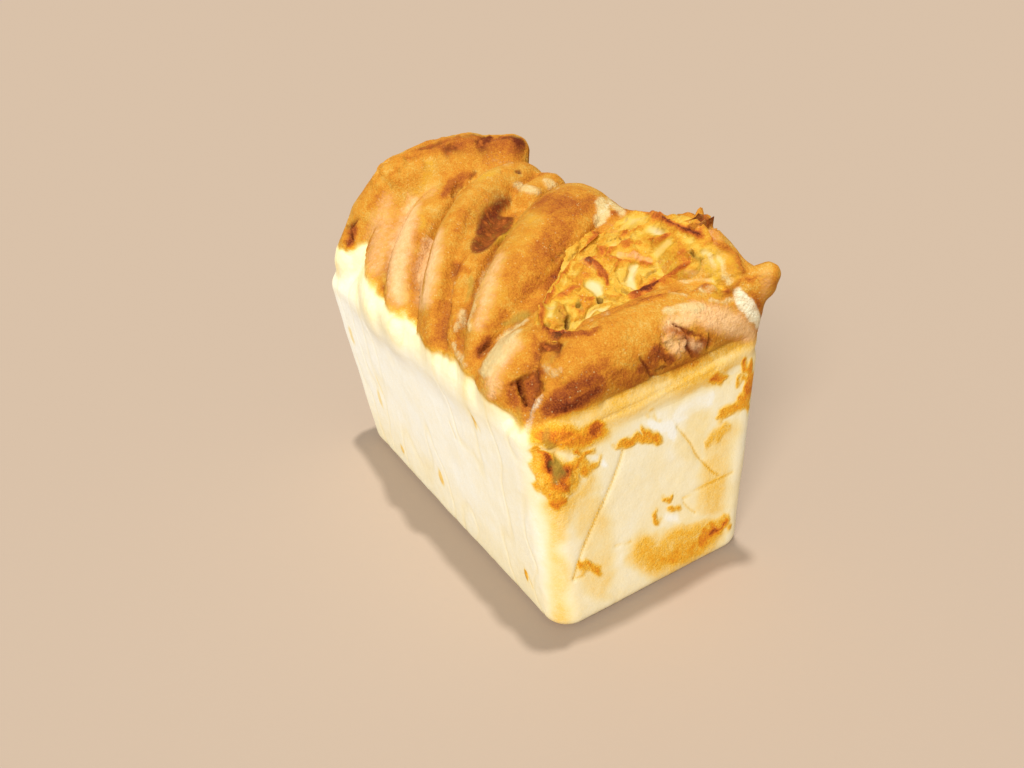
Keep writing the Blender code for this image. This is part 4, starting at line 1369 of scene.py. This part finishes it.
def make_crown():
    """The crown's surface less the cheese's depth, eased at its folds, closed by one face at the rim."""
    depth = np.clip(patch_level(crown), 0, CHEESE_DEPTH)
    under = crown - depth[..., None] * crown_way
    dressed_grid = np.concatenate(dressed(under.reshape(-1, 3)), axis=-1).reshape(*crown.shape[:2], -1)
    smooth = eased(dressed_grid, stroke_share(crown, EASED, EASED_EDGE)).reshape(crown[..., 0].size, -1)
    points, shares = smooth[:, :3], smooth[:, 3:]
    index = np.arange(len(points)).reshape(crown.shape[:2])
    faces = quads(index).tolist() + [rim_loop(index)[::-1].tolist()]
    return mesh_piece("golden_crown", points, faces, shares)


crown_piece = make_crown()


# %% The walls' shell
def make_walls():
    """The walls' rings, closed by one face at the rim and one at the foot."""
    points, shares = dressed(walls.reshape(-1, 3))
    index = np.arange(len(points)).reshape(walls.shape[:2])
    closed = np.concatenate([index, index[:, :1]], axis=1)
    faces = quads(closed).tolist() + [index[0].tolist(), index[-1][::-1].tolist()]
    return mesh_piece("pale_walls", points, faces, shares)


wall_piece = make_walls()

# %% [markdown]
# ## Melted cheese
#
# Cheese that boils in a fold dries to smooth pools with browned strands between them and burst bubbles
# in the pools. It is a sheet on its own denser grid of sight lines, a little proud of the dough. Its edge
# dips under the crust, so no cut edge shows.

# %% The cheese's relief and colour shares
CHEESE_BAKE = 0.41
CHEESE_SWELLS = Noise(0.7, 9.0, 2, 106)
CHEESE_LUMPS = Noise(0.35, 3.5, 2, 108)
CHEESE_FOLDS = Noise(1.4, 6.0, 3, 103)
BLISTERS = Noise(0.8, 2.2, 2, 112)
BURST_DEPTH, BURST_SIZE, BURST_START, BURST_REACH, BURST_SEED = 0.5, 2.4, 1.1, 0.9, 114
POOL_DIP = 0.6
DEEPEST_PIT = 2.6
CHEESE_TWIST = Twist(4.0, 0.9, 120)
CHEESE_MOTTLE = Noise(0.28, 6.0, 4, 124)
POOL_PALE = 0.28
CHEESE_RELIEF_BAKE, CHEESE_RELIEF_RANGE = 0.06, 1.0
PIT_SHADE, PIN_SHADE = 0.9, 0.9
ROUGH_BLUSH_AND_SHEEN = 0.6


def cheese_relief(points):
    """Raised strands, low smooth pools, rough blisters, burst bubbles, and the named pits."""
    twisted = warped(points, *MELT_TWIST)
    pools = stroke_share(twisted, CHEESE_POOLS, POOL_EDGE)
    near = bubbles(points, BURST_SIZE, BURST_SEED)[0]
    burst = BURST_DEPTH * smooth_step(BURST_START - near / BURST_REACH)
    uneven = grain(points, CHEESE_LUMPS) + ridges(twisted, CHEESE_FOLDS) - burst
    strings = STRING_RISE * stroke_share(twisted, STRANDS_OF_CHEESE, STRAND_EDGE)
    rough = stroke_share(twisted, CHEESE_ROUGH, ROUGH_EDGE) * ridges(points, BLISTERS)
    pits = stroke_share(points, CHEESE_PITS, CHEESE_PIT_EDGE) + stroke_share(points, PIN_HOLES, PIN_EDGE)
    swells = grain(points, CHEESE_SWELLS) - POOL_DIP * pools
    return swells + uneven * (1 - pools) + strings + rough - pits


def cheese_shares(points, relief):
    """The cheese's own shares, in the order of SHARE_NAMES."""
    twisted = warped(points, *CHEESE_TWIST)
    bake = CHEESE_BAKE + grain(points, CHEESE_MOTTLE) + stroke_share(twisted, CHEESE_BROWN, CHEESE_BROWN_EDGE)
    bake += STRING_BAKE * stroke_share(twisted, STRANDS_OF_CHEESE, STRAND_EDGE)
    bake -= POOL_PALE * stroke_share(twisted, CHEESE_POOLS, POOL_EDGE)
    bake += CHEESE_RELIEF_BAKE * np.clip(relief, -CHEESE_RELIEF_RANGE, CHEESE_RELIEF_RANGE)
    # Pits and pin holes are darkened with painted shade.
    pits = stroke_share(points, CHEESE_PITS, CHEESE_PIT_SHADE_EDGE) / DEEPEST_PIT
    pits += PIN_SHADE * stroke_share(points, PIN_HOLES, PIN_EDGE)
    nothing = np.zeros(len(points))
    return np.stack([
        np.clip(bake, 0, 1),
        nothing,
        np.clip(PIT_SHADE * pits, 0, 1),
        ROUGH_BLUSH_AND_SHEEN * stroke_share(twisted, CHEESE_ROUGH, ROUGH_EDGE),
        stroke_share(twisted, CHEESE_GOLD, CHEESE_GOLD_EDGE),
        nothing,
        nothing,
        stroke_share(twisted, CHEESE_GREY_SHADE, CHEESE_GREY_SHADE_EDGE),
    ], axis=-1)


# %% The cheese's sheet
CHEESE_COLUMNS = 230
CHEESE_ROWS = 230
CHEESE_EDGE = -1.2
CHEESE_DIP = 1.6
CHEESE_SHEET = 1.2
PROUD_FROM, PROUD_BLEND = -0.6, 1.8


def patch_range(shares, level):
    """The first and last share of a grid line on which the cheese is found."""
    found = shares[(level > CHEESE_EDGE).any(axis=1)]
    return found[0], found[-1]


def border_edges(faces):
    """The edges that only one four-sided face has, in that face's own order."""
    edges = np.concatenate([faces[:, [corner, (corner + 1) % 4]] for corner in range(4)])
    keys = edges.min(axis=1) * (edges.max() + 1) + edges.max(axis=1)
    numbers, counts = np.unique(keys, return_counts=True)
    return edges[np.isin(keys, numbers[counts == 1])]


def sheet_faces(inside):
    """Faces of a sheet: its top, the same turned over below, and sides along their border."""
    cells = inside[:-1, :-1] & inside[1:, :-1] & inside[1:, 1:] & inside[:-1, 1:]
    top = quads(np.arange(inside.size).reshape(inside.shape))[cells.ravel()]
    border = border_edges(top)
    sides = np.concatenate([border[:, ::-1], border + inside.size], axis=1)
    return np.concatenate([top, top[:, ::-1] + inside.size, sides])


def make_cheese():
    """The sheet's top and underside on one fine grid, joined round their border."""
    level = patch_level(crown)
    p_range, q_range = patch_range(p_line, level), patch_range(q_line, level.T)
    p, q = np.linspace(*p_range, CHEESE_COLUMNS), np.linspace(*q_range, CHEESE_ROWS)
    points, _, way = crown_points(*np.meshgrid(p, q, indexing="ij"))
    level = patch_level(points)
    proud = smooth_step((level - PROUD_FROM) / PROUD_BLEND)
    relief = cheese_relief(points)
    raised = points + ((relief + CHEESE_DIP) * proud - CHEESE_DIP)[..., None] * outward(points)
    depth = np.clip(level, 0, CHEESE_DEPTH) + CHEESE_SHEET + CHEESE_DIP
    below = points - depth[..., None] * way
    used, faces = np.unique(sheet_faces(level > CHEESE_EDGE), return_inverse=True)
    everything = np.concatenate([raised.reshape(-1, 3), below.reshape(-1, 3)])[used]
    shares = np.tile(cheese_shares(points.reshape(-1, 3), relief.ravel()), (2, 1))[used]
    return mesh_piece("melted_cheese_sheet", everything, faces.reshape(-1, 4).tolist(), shares)


cheese_piece = make_cheese()

# %% [markdown]
# ## Shader maths as Python
#
# A material is a graph, and building it node by node hides the idea. One small class wraps a socket, so
# that `bake + 0.2 * spots` adds the Math nodes itself, and one method makes any other node.

# %% A socket that does arithmetic
class Value:
    """A shader socket with Python's operators, each of which adds a Math node."""

    def __init__(self, tree, socket):
        self.tree = tree
        self.socket = socket

    def node(self, kind, settings=None, **inputs):
        """Adds a node of this kind, sets it up, links or sets its inputs, and returns the node."""
        made = self.tree.nodes.new(kind)
        for key, value in (settings or {}).items():
            setattr(made, key, value)
        for key, value in inputs.items():
            numbered = key[0] == "i" and key[1:].isdigit()
            place = made.inputs[int(key[1:]) if numbered else key.replace("_", " ")]
            if isinstance(value, Value):
                self.tree.links.new(value.socket, place)
            else:
                place.default_value = value
        return made

    def math(self, operation, *others):
        inputs = {f"i{place + 1}": other for place, other in enumerate(others)}
        made = self.node("ShaderNodeMath", {"operation": operation}, i0=self, **inputs)
        return Value(self.tree, made.outputs[0])

    def __add__(self, other):
        return self.math("ADD", other)

    __radd__ = __add__

    def __mul__(self, other):
        return self.math("MULTIPLY", other)

    __rmul__ = __mul__

    def __sub__(self, other):
        return self.math("SUBTRACT", other)

    def __rsub__(self, other):
        return self.math("MULTIPLY_ADD", -1.0, other)

    def between(self, low, high):
        """0 below low, 1 above high, smooth between them."""
        settings = {"interpolation_type": "SMOOTHSTEP"}
        made = self.node("ShaderNodeMapRange", settings, Value=self, From_Min=low, From_Max=high)
        return Value(self.tree, made.outputs[0])

    def mix_colour(self, first, second):
        """The first colour where this value is 0, the second where it is 1."""
        made = self.node("ShaderNodeMix", {"data_type": "RGBA"}, i0=self, i6=first, i7=second)
        return Value(self.tree, made.outputs[2])


# %% Noise, ramps and attributes for the shader
Texture = namedtuple("Texture", "size detail roughness")


def new_material(name):
    """A material, and the Principled shader that it starts with."""
    material = bpy.data.materials.new(name)
    material.use_nodes = True
    return material, material.node_tree.nodes["Principled BSDF"]


def shader_tools(tree):
    """Functions that add a noise, a bubble pattern, a stored share or a ramp to this node tree."""
    place = Value(tree, tree.nodes.new("ShaderNodeTexCoord").outputs["Object"])

    def noise(texture):
        made = place.node("ShaderNodeTexNoise", None, Vector=place, Scale=1 / (texture.size * MM),
                          Detail=texture.detail, Roughness=texture.roughness)
        return Value(tree, made.outputs["Fac"])

    def dots(size):
        made = place.node("ShaderNodeTexVoronoi", None, Vector=place, Scale=1 / (size * MM))
        return Value(tree, made.outputs["Distance"])

    def share(name):
        made = place.node("ShaderNodeAttribute", {"attribute_name": name})
        return Value(tree, made.outputs["Fac"])

    def ramp(value, stops):
        made = value.node("ShaderNodeValToRGB", None, Fac=value)
        elements = made.color_ramp.elements
        while len(elements) < len(stops):
            elements.new(1.0)
        for element, (level, colour) in zip(elements, stops):
            element.position = level
            element.color = (*colour, 1.0)
        return Value(tree, made.outputs["Color"])

    return noise, dots, share, ramp


# %% [markdown]
# ## The crust's colours
#
# Crust browns along one path: cream, straw, gold, amber, brown, nearly black. So one ramp holds those
# colours, and noise shifts the bake level before the ramp is read, which gives mottling that is always a
# colour real crust can have. Skin that lay against the tin stays whiter and turns orange, so it has a
# second ramp, and the cheese has a third.
#
# Blushed places, pinkish crust with painted sheen over it, and golden, pale and white places are tints over
# the ramp. A tint's share is weighed against torn noise and stretched over a range, so that its edge frays,
# and it fades in over its lowest shares.

# %% Ramps of baked colours
CRUST_STOPS = (
    (0.00, (0.80, 0.74, 0.56)),
    (0.15, (0.66, 0.50, 0.24)),
    (0.28, (0.57, 0.36, 0.10)),
    (0.38, (0.54, 0.27, 0.035)),
    (0.48, (0.52, 0.20, 0.018)),
    (0.58, (0.45, 0.155, 0.016)),
    (0.68, (0.36, 0.10, 0.013)),
    (0.80, (0.25, 0.058, 0.013)),
    (0.90, (0.15, 0.028, 0.008)),
    (1.00, (0.07, 0.013, 0.006)),
)
WALL_STOPS = (
    (0.00, (0.90, 0.89, 0.79)),
    (0.10, (0.88, 0.80, 0.56)),
    (0.20, (0.87, 0.72, 0.38)),
    (0.30, (0.87, 0.60, 0.19)),
    (0.40, (0.87, 0.50, 0.06)),
    (0.50, (0.83, 0.38, 0.022)),
    (0.62, (0.76, 0.24, 0.018)),
    (0.76, (0.50, 0.12, 0.016)),
    (0.88, (0.28, 0.05, 0.010)),
    (1.00, (0.09, 0.018, 0.007)),
)
CHEESE_STOPS = (
    (0.00, (0.62, 0.48, 0.24)),
    (0.18, (0.60, 0.42, 0.13)),
    (0.34, (0.59, 0.36, 0.05)),
    (0.48, (0.55, 0.26, 0.02)),
    (0.60, (0.51, 0.17, 0.018)),
    (0.74, (0.43, 0.11, 0.016)),
    (0.88, (0.26, 0.055, 0.012)),
    (1.00, (0.10, 0.02, 0.008)),
)
# Char colours also paint shade in hollows and holes; pit colours paint shade in the cheese's pits.
CHAR_AND_SHADE_COLOUR = (0.11, 0.018, 0.006, 1.0)
CHAR_AND_SHADE_WARM = (0.40, 0.11, 0.016, 1.0)
PIT_SHADE_COLOUR = (0.20, 0.09, 0.016, 1.0)
PIT_SHADE_WARM = (0.30, 0.15, 0.022, 1.0)
BLUSH_AND_SHEEN_COLOUR = (0.78, 0.48, 0.22, 1.0)
GOLD_COLOUR = (0.60, 0.36, 0.025, 1.0)
PALE_COLOUR = (0.62, 0.46, 0.20, 1.0)
WHITE_COLOUR = (0.76, 0.69, 0.47, 1.0)
OLIVE_SHADE_COLOUR = (0.36, 0.23, 0.035, 1.0)


# %% The baked material's noises, mixes and tints
Mix = namedtuple("Mix", "mottle blotch speckle")
Tint = namedtuple("Tint", "share colour amount torn low high fade")
MOTTLE = Texture(7.0, 4.0, 0.55)
BLOTCH = Texture(2.4, 3.0, 0.6)
SPECKLE = Texture(0.55, 2.0, 0.7)
FLECK_SPREAD = Texture(4.0, 3.0, 0.55)
SHINE = Texture(2.5, 3.0, 0.55)
BUMP = Texture(0.9, 4.0, 0.65)
BAKE_MIX = Mix(0.36, 0.28, 0.52)
TORN_MIX = Mix(0.0, 1.1, 0.9)
BURNT_MIX = Mix(1.6, 2.4, 0.8)
BURNT_RANGE = (-0.35, 0.75)
TINTS = (
    Tint("blush", BLUSH_AND_SHEEN_COLOUR, 0.9, 0.8, 0.05, 1.20, 0.3),
    Tint("gold", GOLD_COLOUR, 0.8, 1.0, 0.15, 1.15, 0.3),
    Tint("pale", PALE_COLOUR, 1.0, 1.0, 0.22, 1.05, 0.2),
    Tint("white", WHITE_COLOUR, 1.0, 1.0, 0.20, 1.20, 0.2),
)
LIVELY_RANGE = (0.20, 0.50)
LEAST_LIVELY = 0.2
OLIVE_SHADE_LEVEL, OLIVE_SHADE_RANGE = 0.9, (0.3, 1.0)
FLECK_SPREAD_RANGE, FLECK_SPREAD_AMOUNT, FLECK_SPREAD_ON_BLUSH_AND_SHEEN = (0.45, 0.65), 0.6, 0.35
FLECK_SIZE, FLECK_RANGE = 1.7, (0.10, 0.24)
CHAR_BLOTCH, CHAR_SPECKLE, CHAR_RANGE, CHAR_FADE = 1.4, 0.4, (0.05, 0.95), 0.1
SHINE_SPREAD = 0.25
BUMP_DOT_SIZE, BUMP_DOTS = 1.3, 0.5
SPECULAR = 0.04


# %% The baked material
def baked_material(name, stops, char_and_shade_colour, warm_colour, roughness, bump_height):
    """Ramps of baked colours, with each named colour mixed over them by its share."""
    material, shader = new_material(name)
    noise, dots, share, ramp = shader_tools(material.node_tree)
    mottle, blotch, speckle = (noise(texture) - 0.5 for texture in (MOTTLE, BLOTCH, SPECKLE))

    def mixed(mix):
        """The three noises, each by its amount in the mix."""
        return mottle * mix.mottle + blotch * mix.blotch + speckle * mix.speckle

    def set_input(socket_name, value):
        material.node_tree.links.new(value, shader.inputs[socket_name])

    bake = share("bake")
    lively = bake.between(*LIVELY_RANGE) * (1 - LEAST_LIVELY) + LEAST_LIVELY
    level = bake + mixed(BAKE_MIX) * lively
    colour = share("wall").mix_colour(ramp(level, stops), ramp(level, WALL_STOPS))
    torn = mixed(TORN_MIX)
    for tint in TINTS:
        named = share(tint.share)
        ragged = (named * tint.amount + torn * tint.torn).between(tint.low, tint.high)
        colour = (ragged * named.between(0.0, tint.fade)).mix_colour(colour, tint.colour)
    # Olive painted shade over the colour, broken up by the blotch noise.
    olive = share("olive") * (blotch + OLIVE_SHADE_LEVEL).between(*OLIVE_SHADE_RANGE)
    colour = olive.mix_colour(colour, OLIVE_SHADE_COLOUR)
    # Pale flecks: partly real blisters, partly painted glints, more of them where blush and sheen are.
    fleck_spread = noise(FLECK_SPREAD).between(*FLECK_SPREAD_RANGE) * FLECK_SPREAD_AMOUNT + share("blush") * FLECK_SPREAD_ON_BLUSH_AND_SHEEN
    flecks = (1 - dots(FLECK_SIZE).between(*FLECK_RANGE)) * lively * fleck_spread
    colour = flecks.mix_colour(colour, PALE_COLOUR)
    # Burnt spots, and painted shade in hollows, holes and the cheese's pits, take the dark char colour.
    charred_and_shaded = (share("char") * (blotch * CHAR_BLOTCH + 1.0) + speckle * CHAR_SPECKLE).between(*CHAR_RANGE)
    burnt = mixed(BURNT_MIX).between(*BURNT_RANGE).mix_colour(char_and_shade_colour, warm_colour)
    colour = (charred_and_shaded * share("char").between(0.0, CHAR_FADE)).mix_colour(colour, burnt)
    set_input("Base Color", colour.socket)
    set_input("Roughness", ((noise(SHINE) - 0.5) * SHINE_SPREAD + roughness).socket)
    height = (noise(BUMP) + dots(BUMP_DOT_SIZE) * BUMP_DOTS) * lively
    bump = height.node("ShaderNodeBump", None, Height=height, Distance=bump_height * MM, Strength=1.0)
    set_input("Normal", bump.outputs["Normal"])
    shader.inputs["Specular IOR Level"].default_value = SPECULAR
    return material


crust_material = baked_material(
    "baked_crust", CRUST_STOPS, CHAR_AND_SHADE_COLOUR, CHAR_AND_SHADE_WARM, roughness=0.58, bump_height=0.55)
cheese_material = baked_material(
    "melted_cheese_finish", CHEESE_STOPS, PIT_SHADE_COLOUR, PIT_SHADE_WARM, roughness=0.45, bump_height=0.40)
crown_piece.data.materials.append(crust_material)
wall_piece.data.materials.append(crust_material)
cheese_piece.data.materials.append(cheese_material)

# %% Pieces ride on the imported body
for piece, node, slot in (
    (crown_piece, "loaf", "crust"),
    (wall_piece, "loaf", "crust"),
    (cheese_piece, "melted_cheese", "cheese"),
):
    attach(piece, "root")
    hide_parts(node)

# %% [markdown]
# ## Floor, light and camera
#
# The photo has a plain beige ground and soft light that is strongest on the long wall, with a short
# shadow in front of the loaf. Lamps near the loaf would light the ground unevenly, so two suns do it: a
# small, high one gives the short shadow, a wide, lower one the bright wall, and the world the rest.

# %% Floor
FLOOR_HALF = 60.0
FLOOR_COLOUR = (0.414, 0.318, 0.235, 1.0)
FLOOR_ROUGHNESS = 0.9


def make_floor():
    """A wide, plain ground at the loaf's foot."""
    mesh = bpy.data.meshes.new("studio_floor")
    corners = [(-FLOOR_HALF, -FLOOR_HALF, 0), (FLOOR_HALF, -FLOOR_HALF, 0), (FLOOR_HALF, FLOOR_HALF, 0),
               (-FLOOR_HALF, FLOOR_HALF, 0)]
    mesh.from_pydata(corners, [], [(0, 1, 2, 3)])
    floor = add_object("studio_floor", mesh)
    material, shader = new_material("studio_floor_paint")
    shader.inputs["Base Color"].default_value = FLOOR_COLOUR
    shader.inputs["Roughness"].default_value = FLOOR_ROUGHNESS
    shader.inputs["Specular IOR Level"].default_value = 0.0
    mesh.materials.append(material)


make_floor()

# %% Lights
WORLD_STRENGTH = 0.41
SUN_FULL = np.pi


def turned(right, up, back):
    """The turn that brings an object's X, Y and Z to these directions."""
    return Matrix(np.stack([right, up, back], axis=1).tolist()).to_4x4()


def aim(towards):
    """Turn that points an object's -Z away from the given direction."""
    back = np.array(towards, float) / np.linalg.norm(towards)
    right = np.cross([0, 0, 1], back)
    right = right / np.linalg.norm(right)
    return turned(right, np.cross(back, right), back)


def add_sun(name, comes_from, share, width):
    """A sun of that width in degrees. At share 1 it lights a white face turned to it fully white."""
    data = bpy.data.lights.new(name, "SUN")
    data.energy = share * SUN_FULL
    data.angle = np.radians(width)
    add_object(name, data).matrix_world = aim(comes_from)


add_sun("high_sun", comes_from=(0.0, 0.085, 0.99), share=0.74, width=3.0)
add_sun("window_sun", comes_from=(0.56, -0.60, 0.57), share=0.95, width=22.0)
world = bpy.data.worlds.new("soft_room")
world.use_nodes = True
background = world.node_tree.nodes["Background"]
background.inputs["Color"].default_value = (1.0, 1.0, 1.0, 1.0)
background.inputs["Strength"].default_value = WORLD_STRENGTH
bpy.context.scene.world = world
bpy.context.scene.view_settings.view_transform = "Standard"

# %% Camera
SENSOR_WIDTH = 36.0


def make_camera():
    """The photo's camera, at the place and along the axes found above."""
    data = bpy.data.cameras.new("photo_camera")
    data.sensor_width = SENSOR_WIDTH
    data.lens = FOCAL_PIXELS / PHOTO_WIDTH * SENSOR_WIDTH
    camera = add_object("photo_camera", data)
    turn = turned(CAMERA_RIGHT, CAMERA_UP, CAMERA_BACK)
    camera.matrix_world = Matrix.Translation((CAMERA_PLACE + TIN_ORIGIN) * MM) @ turn
    bpy.context.scene.camera = camera
    return camera


camera = make_camera()
print("camera at", [round(value, 3) for value in camera.location])
